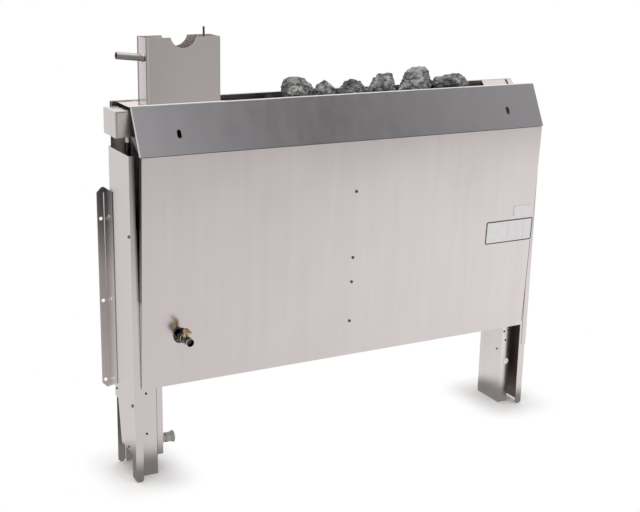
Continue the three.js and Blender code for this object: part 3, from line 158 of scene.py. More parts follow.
class Shader:
    """A node tree being built, with short ways to add and link its nodes."""

    def __init__(self, tree):
        self.nodes = tree.nodes
        self.links = tree.links

    def set(self, socket, value):
        """Gives a socket a number or colour, or links a field to it."""
        if isinstance(value, (float, tuple)):
            socket.default_value = value
        else:
            self.links.new(value, socket)

    def math(self, operation, first, second=0.0):
        node = self.nodes.new("ShaderNodeMath")
        node.operation = operation
        self.set(node.inputs[0], first)
        self.set(node.inputs[1], second)
        return node.outputs["Value"]

    def split(self, vector):
        """The X, Y and Z fields of a vector, by name."""
        node = self.nodes.new("ShaderNodeSeparateXYZ")
        self.links.new(vector, node.inputs["Vector"])
        return node.outputs

    def spread(self, field, start, end, low, high, interpolation="LINEAR"):
        """A field's part from start to end, spread over low to high."""
        node = self.nodes.new("ShaderNodeMapRange")
        node.interpolation_type = interpolation
        node.inputs["From Min"].default_value = start
        node.inputs["From Max"].default_value = end
        node.inputs["To Min"].default_value = low
        node.inputs["To Max"].default_value = high
        self.links.new(field, node.inputs["Value"])
        return node.outputs["Result"]

    def ramp(self, field, *stops):
        """A colour from a field, by (position, colour) stops."""
        node = self.nodes.new("ShaderNodeValToRGB")
        while len(node.color_ramp.elements) < len(stops):
            node.color_ramp.elements.new(1.0)
        for element, (position, shade) in zip(node.color_ramp.elements, stops):
            element.position = position
            element.color = (*shade, 1.0)
        self.links.new(field, node.inputs["Fac"])
        return node.outputs["Color"]


class Finish(Shader):
    """A material of the part: its surface, and the part's own places and directions."""

    def __init__(self, name, metallic=1.0):
        self.material = bpy.data.materials.new(name)
        self.material.use_nodes = True
        super().__init__(self.material.node_tree)
        self.surface = self.nodes["Principled BSDF"]
        self.surface.inputs["Metallic"].default_value = metallic
        coordinates = self.nodes.new("ShaderNodeTexCoord")
        self.place = coordinates.outputs["Object"]
        self.normal = coordinates.outputs["Normal"]

    def noise(self, stretch, detail=3.0, roughness=0.5, distortion=0.0):
        """Noise with that many features for each metre along X, Y and Z."""
        mapping = self.nodes.new("ShaderNodeMapping")
        mapping.inputs["Scale"].default_value = stretch
        texture = self.nodes.new("ShaderNodeTexNoise")
        texture.inputs["Scale"].default_value = 1.0
        texture.inputs["Detail"].default_value = detail
        texture.inputs["Roughness"].default_value = roughness
        texture.inputs["Distortion"].default_value = distortion
        self.links.new(self.place, mapping.inputs["Vector"])
        self.links.new(mapping.outputs["Vector"], texture.inputs["Vector"])
        return texture.outputs["Fac"]

    def even_noise(self, scale, detail=3.0):
        """Noise with that many features for each metre, the same in all directions."""
        return self.noise((scale, scale, scale), detail)

    def cells(self, scale):
        """Distance to the edges of random cells, that many for each metre."""
        texture = self.nodes.new("ShaderNodeTexVoronoi")
        texture.feature = "DISTANCE_TO_EDGE"
        texture.inputs["Scale"].default_value = scale
        self.links.new(self.place, texture.inputs["Vector"])
        return texture.outputs["Distance"]

    def along(self, axis, start, end, low=0.0, high=1.0):
        """Low to high between two places along an axis."""
        return self.spread(self.split(self.place)[axis], start, end, low, high)

    def faint(self, field):
        """A noise field as a small share of a tone, to be added to it."""
        return self.spread(field, NOISE_LOW, NOISE_HIGH, 0.0, 0.1)

    def colour(self, field, *stops):
        """Base colour from a field, by (position, colour) stops."""
        self.links.new(self.ramp(field, *stops), self.surface.inputs["Base Color"])

    def roughness(self, field, low, high):
        """Roughness from low to high by a noise field."""
        rough = self.spread(field, NOISE_LOW, NOISE_HIGH, low, high)
        self.links.new(rough, self.surface.inputs["Roughness"])

    def bump(self, field, strength, distance):
        """Adds a relief on top of the reliefs added before it."""
        relief = self.nodes.new("ShaderNodeBump")
        relief.inputs["Strength"].default_value = strength
        relief.inputs["Distance"].default_value = distance
        self.links.new(field, relief.inputs["Height"])
        for earlier in self.surface.inputs["Normal"].links:
            self.links.new(earlier.from_socket, relief.inputs["Normal"])
        self.links.new(relief.outputs["Normal"], self.surface.inputs["Normal"])

    def bands(self, grain):
        """Broad bands of brushed sheet along an axis."""
        broad = [0.8 if axis == grain else 40.0 for axis in "XYZ"]
        return self.noise(broad, detail=5.0, roughness=0.6)

    def brush(self, grain):
        """The fine relief of brushed sheet along an axis."""
        fine = [9.0 if axis == grain else 1100.0 for axis in "XYZ"]
        self.bump(self.noise(fine, detail=2.0), 0.01, 0.0001)


# Materials
STEEL = (0.75, 0.69, 0.683)
BRIGHT = (0.70, 0.655, 0.64)
LINER_DARK = (0.26, 0.24, 0.23)
CLOUDS = 7.0
# Painted dark reflection on the panel's left end: where it lies and how dark it is
PANEL_END = (-0.95, -0.6, 1.0, 0.0)  # facings along X, and how far each counts as the left end
PANEL_DARK_FROM = (0.404, 0.412)  # heights between which that end turns dark
PANEL_DARKENS = (0.46, 0.62, 0.33, 0.9)  # heights between which it darkens, and how dark it is
# Painted shade on faces by the way they look:
FACE_SIDES = (-0.4, 0.4, -1.0, 1.0)  # places along X, and the weight of a face there
FACE_HEIGHTS = (0.35, 0.70)
# Painted dark reflection: how far the dark by each fold of the steam head reaches
HEAD_FRONT_FOLD, HEAD_REAR_FOLD = 0.008, 0.05  # how far the dark of a fold reaches
HEAD_OUTSIDE, HEAD_INSIDE = 0.0003, 0.0009  # depths in the steam head's walls


def shaded(colour, factor):
    return tuple(channel * factor for channel in colour)


def steel(name, colour, roughness, grain, contrast=0.03):
    """Satin sheet with fine grain along one axis and faint clouding."""
    finish = Finish(name)
    finish.colour(
        finish.bands(grain),
        (NOISE_LOW, shaded(colour, 1.0 - contrast)),
        (NOISE_HIGH, shaded(colour, 1.0 + contrast)),
    )
    finish.roughness(finish.even_noise(CLOUDS), roughness - 0.02, roughness + 0.04)
    finish.brush(grain)
    return finish.material


def panel_sheet():
    """Satin sheet whose left end, a fold, carries a painted dark reflection above a height, darker towards
    its top.
    """
    finish = Finish("panel_steel")
    left_end = finish.spread(finish.split(finish.normal)["X"], *PANEL_END)
    upper_end = finish.math("MULTIPLY", left_end, finish.along("Z", *PANEL_DARK_FROM))
    # Painted dark reflection: the left end, dark above a height and darker higher up
    painted_dark_end = finish.math("MULTIPLY", upper_end, finish.along("Z", *PANEL_DARKENS))
    finish.colour(
        finish.math("ADD", finish.faint(finish.bands("Z")), painted_dark_end),
        (0.0, shaded(STEEL, 0.98)),
        (0.1, shaded(STEEL, 1.02)),
        (0.35, (0.36, 0.31, 0.29)),
        (0.6, (0.22, 0.20, 0.19)),
        (0.95, (0.05, 0.047, 0.044)),
    )
    finish.roughness(finish.even_noise(CLOUDS), 0.17, 0.23)
    finish.brush("Z")
    return finish.material


def by_face(name, axis, minus, plus, roughness):
    """Satin sheet with painted shade on the faces that look one way along an axis.

    Along X, minus is for faces that look to the middle and plus for those that look outwards.
    Along Y, minus is for the front and plus for the back, and both come in with height.
    """
    finish = Finish(name)
    if axis == "X":
        weight = finish.along("X", *FACE_SIDES)
    else:
        weight = finish.along("Z", *FACE_HEIGHTS)
    facing = finish.math("MULTIPLY", finish.split(finish.normal)[axis], weight)
    clouds = finish.noise((30.0, 30.0, 6.0), detail=5.0)
    finish.colour(
        finish.math("ADD", finish.spread(facing, -1.0, 1.0, 0.0, 0.9), finish.faint(clouds)),
        (0.0, shaded(minus, 0.92)),
        (0.1, minus),
        (0.42, shaded(STEEL, 0.98)),
        (0.58, shaded(STEEL, 1.02)),
        (0.9, plus),
        (1.0, shaded(plus, 1.04)),
    )
    finish.roughness(clouds, roughness - 0.02, roughness + 0.03)
    return finish.material


def head_sheet():
    """Satin sheet with painted dark reflections along its left folds and a paler painted reflection at its
    right end, less metallic inside.
    """
    finish = Finish("head_steel")
    low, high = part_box("steam_head")
    place = finish.split(finish.place)
    front_fold, rear_fold = low.x + low.y, low.x - high.y
    to_front = finish.math("ADD", place["X"], place["Y"])
    to_rear = finish.math("SUBTRACT", place["X"], place["Y"])
    from_front = finish.spread(to_front, front_fold, front_fold + HEAD_FRONT_FOLD, 0.0, 0.8)
    from_rear = finish.spread(to_rear, rear_fold, rear_fold + HEAD_REAR_FOLD, 0.0, 0.8)
    from_folds = finish.math("MINIMUM", from_front, from_rear)
    # Painted reflection: dark by the left folds and paler towards the right end
    finish.colour(
        finish.math("ADD", from_folds, finish.along("X", low.x, high.x, 0.0, 0.2)),
        (0.0, (0.22, 0.205, 0.20)),
        (0.10, (0.26, 0.24, 0.235)),
        (0.19, shaded(STEEL, 1.04)),
        (0.56, shaded(STEEL, 0.96)),
        (0.80, shaded(STEEL, 0.85)),
        (0.89, shaded(STEEL, 0.98)),
        (1.0, shaded(STEEL, 1.11)),
    )
    walls = []
    for axis, start, end in (("X", low.x, high.x), ("Y", low.y, high.y)):
        half = (end - start) / 2
        from_middle = finish.math("ABSOLUTE", finish.along(axis, start, end, -half, half))
        walls.append(finish.spread(from_middle, half - HEAD_INSIDE, half - HEAD_OUTSIDE, 0.8, 1.0))
    finish.links.new(finish.math("MAXIMUM", *walls), finish.surface.inputs["Metallic"])
    finish.roughness(finish.even_noise(CLOUDS), 0.18, 0.23)
    finish.brush("Z")
    return finish.material


def drawn_tube():
    """Drawn tube with a painted highlight along its top and painted shade on its underside."""
    finish = Finish("tube_steel")
    marks = finish.even_noise(160.0, detail=5.0)
    # Painted highlight and shade: colour by how far each face looks up
    upward = finish.spread(finish.split(finish.normal)["Z"], -1.0, 1.0, 0.0, 0.95)
    mottling = finish.spread(marks, NOISE_LOW, NOISE_HIGH, 0.0, 0.05)
    finish.colour(
        finish.math("ADD", upward, mottling),
        (0.0, (0.20, 0.175, 0.165)),
        (0.36, (0.24, 0.21, 0.195)),
        (0.62, (0.40, 0.365, 0.35)),
        (0.78, (0.86, 0.84, 0.82)),
        (0.90, (0.62, 0.58, 0.56)),
        (1.0, (0.40, 0.365, 0.35)),
    )
    finish.roughness(marks, 0.2, 0.15)
    return finish.material


def metal(name, colour, roughness, dark=0.8):
    """Plated or bare metal with faint handling marks."""
    finish = Finish(name)
    marks = finish.even_noise(160.0, detail=5.0)
    finish.colour(marks, (NOISE_LOW, shaded(colour, dark)), (0.65, colour))
    finish.roughness(marks, roughness * 1.5, roughness)
    finish.bump(finish.even_noise(700.0), 0.015, 0.0001)
    return finish.material


def moulded(name, colour, roughness, metallic=0.0):
    """Moulded or coated piece with a fine skin."""
    finish = Finish(name, metallic)
    patches = finish.even_noise(90.0, detail=4.0)
    finish.colour(patches, (NOISE_LOW, shaded(colour, 0.92)), (NOISE_HIGH, colour))
    finish.roughness(patches, roughness - 0.06, roughness + 0.08)
    finish.bump(finish.even_noise(2200.0), 0.08, 0.0001)
    return finish.material


def bracket_sheet():
    """Galvanised sheet with broad zinc patches, and painted shade that makes it darker towards its top."""
    finish = Finish("bracket_steel")
    low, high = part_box("wall_bracket_left")
    # Painted shade: darker towards the top
    finish.colour(
        finish.along("Z", low.z, high.z),
        (0.0, (0.72, 0.67, 0.645)),
        (0.6, (0.60, 0.56, 0.55)),
        (0.85, (0.30, 0.288, 0.285)),
        (1.0, (0.19, 0.183, 0.183)),
    )
    zinc = finish.even_noise(70.0, detail=4.0)
    finish.roughness(zinc, 0.3, 0.4)
    finish.bump(zinc, 0.05, 0.0004)
    return finish.material


def broken_stone():
    """Broken rock: grey, slightly green, with dark pits and pale grains."""
    finish = Finish("stone", metallic=0.0)
    blotches = finish.noise((42.0, 42.0, 58.0), detail=9.0, roughness=0.7, distortion=1.1)
    finish.colour(
        blotches,
        (0.36, (0.02, 0.021, 0.019)),
        (0.46, (0.11, 0.112, 0.106)),
        (0.54, (0.25, 0.252, 0.242)),
        (0.66, (0.52, 0.523, 0.51)),
    )
    finish.roughness(blotches, 0.95, 0.8)
    finish.bump(finish.cells(150.0), 0.4, 0.002)
    finish.bump(finish.even_noise(300.0, detail=6.0), 0.9, 0.002)
    return finish.material


satin_upright = steel("satin_steel_upright", STEEL, 0.19, "Z", 0.02)
satin_level = steel("satin_steel_level", STEEL, 0.21, "X", 0.02)
bright_upright = steel("bright_steel_upright", BRIGHT, 0.21, "Z")
bright_level = steel("bright_steel_level", BRIGHT, 0.21, "X")
# Darker steel for the stone chamber's liners and ends
dark_liner_steel = steel("dark_liner_steel", LINER_DARK, 0.34, "X", 0.12)
# Painted light: a copy of the satin steel made lighter for the right inner leg
lighter_leg_steel = steel("lighter_leg_steel", shaded(STEEL, 1.1), 0.19, "Z", 0.02)
lid_steel = steel("lid_steel", (0.80, 0.725, 0.675), 0.31, "Z")
panel_steel = panel_sheet()
bracket_steel = bracket_sheet()
# Painted shade: on the posts' inward faces, the hood's outward end faces and the end covers' upper front
# faces
post_steel = by_face("post_steel", "X", (0.30, 0.26, 0.235), STEEL, 0.2)
hood_steel = by_face("hood_steel", "X", STEEL, (0.05, 0.046, 0.045), 0.22)
cover_steel = by_face("cover_steel", "Y", (0.47, 0.44, 0.43), STEEL, 0.2)
head_steel = head_sheet()
tube_steel = drawn_tube()
# Painted highlight: a brighter, glossier steel for hems, edges and tap rims
highlight_steel = metal("highlight_steel", (0.88, 0.86, 0.85), 0.14, dark=0.95)
# Painted shade: near-black steel for the sleeve inside the inlet's bore
shade_black_steel = metal("shade_black_steel", (0.03, 0.026, 0.025), 0.4)
element_steel = metal("element_steel", (0.16, 0.145, 0.135), 0.42, dark=0.6)
screw_steel = metal("screw_steel", (0.20, 0.18, 0.17), 0.32)
# Painted dark reflection: the chrome drain tap is near black
tap_steel = metal("tap_steel", (0.085, 0.074, 0.07), 0.14)
brass = metal("brass", (0.66, 0.47, 0.25), 0.17)
copper = metal("copper", (0.26, 0.085, 0.085), 0.38)
red_silicone = moulded("red_silicone", (0.075, 0.010, 0.010), 0.55)
ceramic = moulded("ceramic", (0.84, 0.82, 0.78), 0.5)
grey_plastic = moulded("grey_plastic", (0.45, 0.435, 0.43), 0.5)
white_plastic = moulded("white_plastic", (0.93, 0.90, 0.88), 0.3)
black_plastic = moulded("black_plastic", (0.02, 0.02, 0.02), 0.5)
wire_black = moulded("wire_black", (0.025, 0.023, 0.02), 0.6)
plate_white = moulded("plate_white", (0.80, 0.775, 0.785), 0.4, metallic=0.3)
ink_and_shade = moulded("ink_and_shade", (0.008, 0.008, 0.008), 0.6)
ink_grey = moulded("ink_grey", (0.42, 0.41, 0.41), 0.5)
stone = broken_stone()

MATERIAL_OF_SLOT = {
    "brushed_steel": satin_upright,
    "bright_steel": bright_upright,
    "element_steel": element_steel,
    "screw_steel": screw_steel,
    "chrome": tap_steel,
    "brass": brass,
    "copper": copper,
    "red_silicone": red_silicone,
    "ceramic": ceramic,
    "grey_plastic": grey_plastic,
    "white_plastic": white_plastic,
    "black_plastic": black_plastic,
    "wire_black": wire_black,
    "plate_white": plate_white,
    "stone": stone,
}
MATERIAL_OF_NODE = {
    "front_panel": panel_steel,
    "top_hood": hood_steel,
    "top_cover": satin_level,
    "front_bottom_rail": bright_level,
    "rear_bottom_rail": bright_level,
    "front_liner": dark_liner_steel,
    "rear_liner": dark_liner_steel,
    "chamber_end_left": dark_liner_steel,
    "chamber_end_right": dark_liner_steel,
    "steam_head": head_steel,
    "end_cover_left": cover_steel,
    "end_cover_right": cover_steel,
    "leg_post_right": post_steel,
    "inner_leg_right": lighter_leg_steel,
    "wall_bracket_left": bracket_steel,
    "wall_bracket_right": bracket_steel,
    "water_inlet_tube": tube_steel,
}


# Looks of the CAD nodes
def smooth_group():
    """Node group that smooths faces and keeps edges sharper than an angle."""
    group = bpy.data.node_groups.new("smooth_by_angle", "GeometryNodeTree")
    group.interface.new_socket("Geometry", in_out="INPUT", socket_type="NodeSocketGeometry")
    group.interface.new_socket("Geometry", in_out="OUTPUT", socket_type="NodeSocketGeometry")
    start = group.nodes.new("NodeGroupInput")
    end = group.nodes.new("NodeGroupOutput")
    angle = group.nodes.new("GeometryNodeInputMeshEdgeAngle")
    gentle = group.nodes.new("FunctionNodeCompare")
    gentle.data_type = "FLOAT"
    gentle.operation = "LESS_THAN"
    gentle.inputs["B"].default_value = SMOOTH_ANGLE
    edges = group.nodes.new("GeometryNodeSetShadeSmooth")
    edges.domain = "EDGE"
    faces = group.nodes.new("GeometryNodeSetShadeSmooth")
    faces.domain = "FACE"
    group.links.new(angle.outputs["Unsigned Angle"], gentle.inputs["A"])
    group.links.new(start.outputs["Geometry"], edges.inputs["Geometry"])
    group.links.new(gentle.outputs["Result"], edges.inputs["Shade Smooth"])
    group.links.new(edges.outputs["Geometry"], faces.inputs["Geometry"])
    group.links.new(faces.outputs["Geometry"], end.inputs["Geometry"])
    return group


smooth_by_angle = smooth_group()


def soften(obj, width):
    """Welds the facets, rounds the sharp edges a little and smooths the shading."""
    weld = obj.modifiers.new("weld", "WELD")
    weld.merge_threshold = WELD_DISTANCE
    if width > 0.0:
        bevel = obj.modifiers.new("edges", "BEVEL")
        bevel.limit_method = "ANGLE"
        bevel.angle_limit = EDGE_ANGLE
        bevel.width = width
        bevel.segments = EDGE_SEGMENTS
    obj.modifiers.new("smooth", "NODES").node_group = smooth_by_angle
    normals = obj.modifiers.new("normals", "WEIGHTED_NORMAL")
    normals.keep_sharp = True
    normals.weight = 100


def paint(obj, material):
    obj.data.materials.clear()
    obj.data.materials.append(material)


slot_of = {part["node"]: part["material_slot"] for part in frame["record"]["subparts"]}
for name, node in nodes.items():
    slot = slot_of[name]
    paint(node, MATERIAL_OF_NODE.get(name, MATERIAL_OF_SLOT[slot]))
    soften(node, EDGE_ROUND if "steel" in slot else 0.0)


# Shapes and new pieces
def mesh_of(name, shapes, angle):
    """One mesh from closed shapes, smooth but for edges sharper than an angle."""
    whole = bmesh.new()
    for shape in shapes:
        part = bpy.data.meshes.new("part")
        shape.to_mesh(part)
        shape.free()
        whole.from_mesh(part)
        bpy.data.meshes.remove(part)
    for face in whole.faces:
        face.smooth = True
    for edge in whole.edges:
        edge.smooth = len(edge.link_faces) == 2 and edge.calc_face_angle() < angle
    mesh = bpy.data.meshes.new(name)
    whole.to_mesh(mesh)
    whole.free()
    return mesh


def add_piece(name, shapes, material, body="heater", stands_for=(), angle=SMOOTH_ANGLE):
    """A new piece on a body, in the part's frame, in place of CAD nodes where it stands for them."""
    obj = bpy.data.objects.new(name, mesh_of(name, shapes, angle))
    bpy.context.scene.collection.objects.link(obj)
    paint(obj, material)
    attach(obj, body)
    if stands_for:
        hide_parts(*stands_for)


def skin(rings, joined=False):
    """The closed surface through rings of points, capped unless its ends join."""
    shape = bmesh.new()
    rows = [[shape.verts.new(point) for point in points] for points in rings]
    pairs = list(zip(rows, rows[1:]))
    if joined:
        pairs.append((rows[-1], rows[0]))
    else:
        shape.faces.new(rows[0])
        shape.faces.new(rows[-1])
    for low, high in pairs:
        for i, corner in enumerate(low):
            j = (i + 1) % len(low)
            shape.faces.new((corner, low[j], high[j], high[i]))
    bmesh.ops.recalc_face_normals(shape, faces=shape.faces)
    return shape


def ring(height, radius):
    """Points round the Z axis. The radius is a number or follows the angle."""
    points = []
    for step in range(STEPS):
        angle = 2 * math.pi * step / STEPS
        reach = radius(angle) if callable(radius) else radius
        points.append(Vector((reach * math.cos(angle), reach * math.sin(angle), height)))
    return points


def turned(profile, joined=False):
    """A turned shape from (height, radius) pairs."""
    return skin([ring(height, radius) for height, radius in profile], joined)


def placed(shape, origin, axis):
    """Moves a shape from the Z axis to a place and direction."""
    turn = axis.normalized().to_track_quat("Z", "Y").to_matrix().to_4x4()
    bmesh.ops.transform(shape, matrix=Matrix.Translation(origin) @ turn, verts=shape.verts)
    return shape


def strip(corners, start, end):
    """A strip along X with the same (y, z) corners at both ends."""
    return skin([[Vector((x, y, z)) for y, z in corners] for x in (start, end)])


def oblong(x0, x1, z0, z1):
    """The (x, z) corners of a rectangle seen from the front."""
    return ((x0, z0), (x1, z0), (x1, z1), (x0, z1))


def far_end(node, direction):
    """The middle of a node's outermost points in a direction."""
    points = [vert.co for vert in nodes[node].data.vertices]
    most = max(point.dot(direction) for point in points)
    outer = [point for point in points if point.dot(direction) > most - WELD_DISTANCE]
    low = Vector([min(point[i] for point in outer) for i in range(3)])
    high = Vector([max(point[i] for point in outer) for i in range(3)])
    return (low + high) / 2


# Stones
ROCKS = 6
ROCK_CUTS = 5
ROCK_ANGLE = math.radians(22)
ROCK_SWELL = 0.0016
ROCK_LUMPS, LUMPS_PER_METRE = 0.0028, 45.0
ROCK_CHIPS, CHIPS_PER_METRE = 0.003, 100.0
ROCK_BREAKS = 22
BREAK_LEAST, BREAK_SPREAD = 0.84, 0.12  # share of the stone's reach that a break leaves
TOP_FACING, TOP_SHARE = 0.7, 0.95  # breaks that face up more than this leave that share
BREAK_FLATNESS = 0.92
LUMP_NOISE = (0.8, 2.1, 6)
CHIP_NOISE = (0.7, 2.2, 5, 0.9, 2.0)
NOISE_STEP = (3.7, 1.9, 5.3)  # how far apart the stones lie in the noise


def rock(node, number):
    """A broken stone on the shape of its CAD node, with flat breaks, lumps and chips."""
    shape = bmesh.new()
    shape.from_mesh(node.data)
    bmesh.ops.remove_doubles(shape, verts=shape.verts, dist=WELD_DISTANCE)
    bmesh.ops.subdivide_edges(shape, edges=shape.edges[:], cuts=ROCK_CUTS, use_grid_fill=True)
    middle = sum((vert.co for vert in shape.verts), Vector()) / len(shape.verts)
    noise.seed_set(number)
    for _ in range(ROCK_BREAKS):
        facing = noise.random_unit_vector()
        share = BREAK_LEAST + BREAK_SPREAD * noise.random()
        if facing.z > TOP_FACING:
            share = TOP_SHARE
        reach = share * max((vert.co - middle).dot(facing) for vert in shape.verts)
        for vert in shape.verts:
            over = (vert.co - middle).dot(facing) - reach
            if over > 0.0:
                vert.co -= facing * over * BREAK_FLATNESS
    shape.normal_update()
    shift = Vector([step * number for step in NOISE_STEP])
    moves = []
    for vert in shape.verts:
        lumps = noise.fractal(vert.co * LUMPS_PER_METRE + shift, *LUMP_NOISE)
        chips = noise.ridged_multi_fractal(vert.co * CHIPS_PER_METRE + shift, *CHIP_NOISE)
        moves.append(vert.normal * (ROCK_SWELL + ROCK_LUMPS * lumps - ROCK_CHIPS * (chips - 1.0)))
    for vert, move in zip(shape.verts, moves):
        vert.co += move
    return shape


for number in range(1, ROCKS + 1):
    name = f"stone_{number}"
    shapes = [rock(nodes[name], number)]
    add_piece(f"rock_{number}", shapes, stone, stands_for=[name], angle=ROCK_ANGLE)

# Screws
SCREW_RADIUS = 0.0035
SCREW_HEIGHT = 0.002
SCREW_SHANK = 0.0016
SCREW_REACH = 0.0058
SHORT_REACH = 0.001
SMALL_SCREW = 0.74
PANEL_SCREWS = 4
FREE_SCREWS = [
    ("leg_screw_right_1", at(973, LEG_FACE, 191), FRONT),
    ("leg_screw_right_2", at(985, LEG_FACE, 194), FRONT),
    ("leg_screw_right_3", at(978, LEG_FACE, 167), FRONT),
    ("leg_screw_right_4", at(967, 50, 140), LEFT),
    ("leg_screw_left_1", at(20, LEG_FACE, 193), FRONT),
    ("leg_screw_left_2", at(20, LEG_FACE, 99), FRONT),
    ("cover_screw_left_low", at(-16.5, 116, 181), LEFT),
    ("post_screw_left", at(-15, 50, 68), LEFT),
]


def cross_recess(angle):
    return SCREW_RADIUS * (0.2 + 0.36 * abs(math.cos(2 * angle)) ** 5)


def inner_recess(angle):
    return 0.7 * cross_recess(angle)


def screw(name, seat, outward, reach=SCREW_REACH, size=1.0, stands_for=()):
    """A pan-head screw with a cross recess."""
    shape = turned(
        [
            (-reach, SCREW_SHANK),
            (0.0, SCREW_SHANK),
            (0.0, SCREW_RADIUS),
            (0.4 * SCREW_HEIGHT, SCREW_RADIUS),
            (0.8 * SCREW_HEIGHT, 0.85 * SCREW_RADIUS),
            (SCREW_HEIGHT, 0.64 * SCREW_RADIUS),
            (SCREW_HEIGHT, cross_recess),
            (0.3 * SCREW_HEIGHT, inner_recess),
        ]
    )
    bmesh.ops.scale(shape, vec=(size, size, 1.0), verts=shape.verts)
    shapes = [placed(shape, seat, outward)]
    add_piece(name, shapes, screw_steel, stands_for=stands_for)


def screw_for(node, outward):
    """A screw in place of a CAD screw."""
    seat = far_end(node, outward) - outward * SCREW_HEIGHT
    screw(f"{node}_detail", seat, outward, stands_for=[node])


for number in range(1, PANEL_SCREWS + 1):
    screw_for(f"panel_screw_{number}", PANEL_OUT)
for side, outward in (("left", LEFT), ("right", RIGHT)):
    for place in ("upper", "lower"):
        screw_for(f"end_cover_screw_{side}_{place}", outward)
for name, seat, outward in FREE_SCREWS:
    screw(name, seat, outward, SHORT_REACH, SMALL_SCREW)

# Drain tap
TAP_X, TAP_Z = -0.41475, 0.328
HEX_LENGTH, HEX_HALF, HEX_CORNER = 0.010, 0.012, 0.0134
HEX_CHAMFER, HEX_FACE = 0.93, 0.0112
COLLAR_RADIUS, COLLAR_END, NECK_RADIUS = 0.011, 0.0165, 0.0088
BARREL_LENGTH, NOZZLE_LENGTH = 0.024, 0.013
NOZZLE_RADIUS, MOUTH_RADIUS, MOUTH_DEPTH, MOUTH_FLOOR = 0.009, 0.0068, 0.011, 0.004
BOSS_RADIUS, BOSS_HEIGHT, BOSS_CAP = 0.0065, 0.018, 0.005
RIM, RIM_STEPS = 0.0006, 8
EASE = 0.001  # how far turned edges are eased

tap_root = Vector((TAP_X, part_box("tap_body")[1].y, TAP_Z))
barrel_end = HEX_LENGTH + BARREL_LENGTH
mouth = barrel_end + NOZZLE_LENGTH


def hexagon(scale):
    """The radius of a nut with eased corners, by angle."""

    def reach(angle):
        turn = (angle + math.pi / 6) % (math.pi / 3) - math.pi / 6
        return min(scale * HEX_HALF / math.cos(turn), scale * HEX_CORNER)

    return reach


def rim(height, radius):
    """A thin round band."""
    turns = [2 * math.pi * step / RIM_STEPS for step in range(RIM_STEPS)]
    return turned([(height + RIM * math.sin(a), radius + RIM * math.cos(a)) for a in turns], joined=True)


nut = turned(
    [
        (0.0, hexagon(HEX_CHAMFER)),
        (EASE, hexagon(1.0)),
        (HEX_LENGTH - EASE, hexagon(1.0)),
        (HEX_LENGTH, HEX_FACE),
    ]
)
barrel = turned(
    [
        (HEX_LENGTH + 0.0001, COLLAR_RADIUS),
        (COLLAR_END - EASE, COLLAR_RADIUS),
        (COLLAR_END, COLLAR_RADIUS - EASE),
        (COLLAR_END, NECK_RADIUS + EASE),
        (COLLAR_END + EASE, NECK_RADIUS),
        (barrel_end - EASE, NECK_RADIUS),
        (barrel_end, NECK_RADIUS + 0.0002),
        (barrel_end + 0.0015, NOZZLE_RADIUS - 0.0002),
        (mouth - EASE, NOZZLE_RADIUS),
        (mouth, NOZZLE_RADIUS - 0.0008),
        (mouth, MOUTH_RADIUS + 0.0004),
        (mouth - 0.0006, MOUTH_RADIUS),
        (mouth - MOUTH_DEPTH, MOUTH_RADIUS),
        (mouth - MOUTH_DEPTH - EASE, MOUTH_FLOOR),
    ]
)
boss = turned(
    [
        (NECK_RADIUS - 0.003, BOSS_RADIUS),
        (BOSS_HEIGHT - BOSS_CAP, BOSS_RADIUS),
        (BOSS_HEIGHT - BOSS_CAP + 0.0008, BOSS_RADIUS - 0.0008),
        (BOSS_HEIGHT - EASE, BOSS_RADIUS - 0.0008),
        (BOSS_HEIGHT, BOSS_RADIUS - 0.002),
    ]
)
# Bright rings on the tap's collar and mouth, as painted highlights
rims = [rim(COLLAR_END - RIM, COLLAR_RADIUS - 0.0004), rim(mouth - RIM, NOZZLE_RADIUS - 0.0003)]
tap_shapes = [placed(shape, tap_root, FRONT) for shape in (nut, barrel)]
add_piece("drain_tap", tap_shapes, tap_steel, stands_for=["tap_body"])
add_piece("tap_highlight_rims", [placed(shape, tap_root, FRONT) for shape in rims], highlight_steel)
boss_root = tap_root + FRONT * (HEX_LENGTH + BARREL_LENGTH / 2)
add_piece("tap_boss", [placed(boss, boss_root, UP)], brass)

# Cable gland
GLAND_BORE, GLAND_THREAD = 0.0064, 0.0101
GRIPS, GRIP_DEPTH = 20, 0.018
nut_low, nut_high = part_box("gland_nut")
nut_long = nut_high.x - nut_low.x
nut_radius = (nut_high.y - nut_low.y) / 2
gland_root = Vector((0.0, (nut_low.y + nut_high.y) / 2, (nut_low.z + nut_high.z) / 2))


def gripped(share):
    """A share of the nut's radius, with grips round it, by angle."""
    return lambda angle: share * nut_radius * (1.0 + GRIP_DEPTH * math.cos(GRIPS * angle))


gland_nut = turned(
    [
        (nut_low.x, GLAND_THREAD),
        (nut_low.x, 0.78 * nut_radius),
        (nut_low.x + EASE, gripped(0.82)),
        (nut_low.x + 0.42 * nut_long, gripped(0.82)),
        (nut_low.x + 0.46 * nut_long, 0.76 * nut_radius),
        (nut_low.x + 0.54 * nut_long, 0.76 * nut_radius),
        (nut_low.x + 0.58 * nut_long, gripped(0.82)),
        (nut_low.x + 0.80 * nut_long, gripped(0.88)),
        (nut_low.x + 0.88 * nut_long, nut_radius),
        (nut_high.x - 0.0004, nut_radius),
        (nut_high.x, nut_radius - 0.0006),
        (nut_high.x, GLAND_BORE + 0.0006),
        (nut_high.x - 0.003, GLAND_BORE),
        (nut_low.x + 0.004, GLAND_BORE),
        (nut_low.x + 0.004, GLAND_THREAD),
    ],
    joined=True,
)
nut_shapes = [placed(gland_nut, gland_root, RIGHT)]
add_piece("gland_nut_detail", nut_shapes, grey_plastic, stands_for=["gland_nut"])

# Water inlet
INLET_RISE = math.radians(6.5)
INLET_RADIUS, INLET_BORE = 0.0075, 0.0065
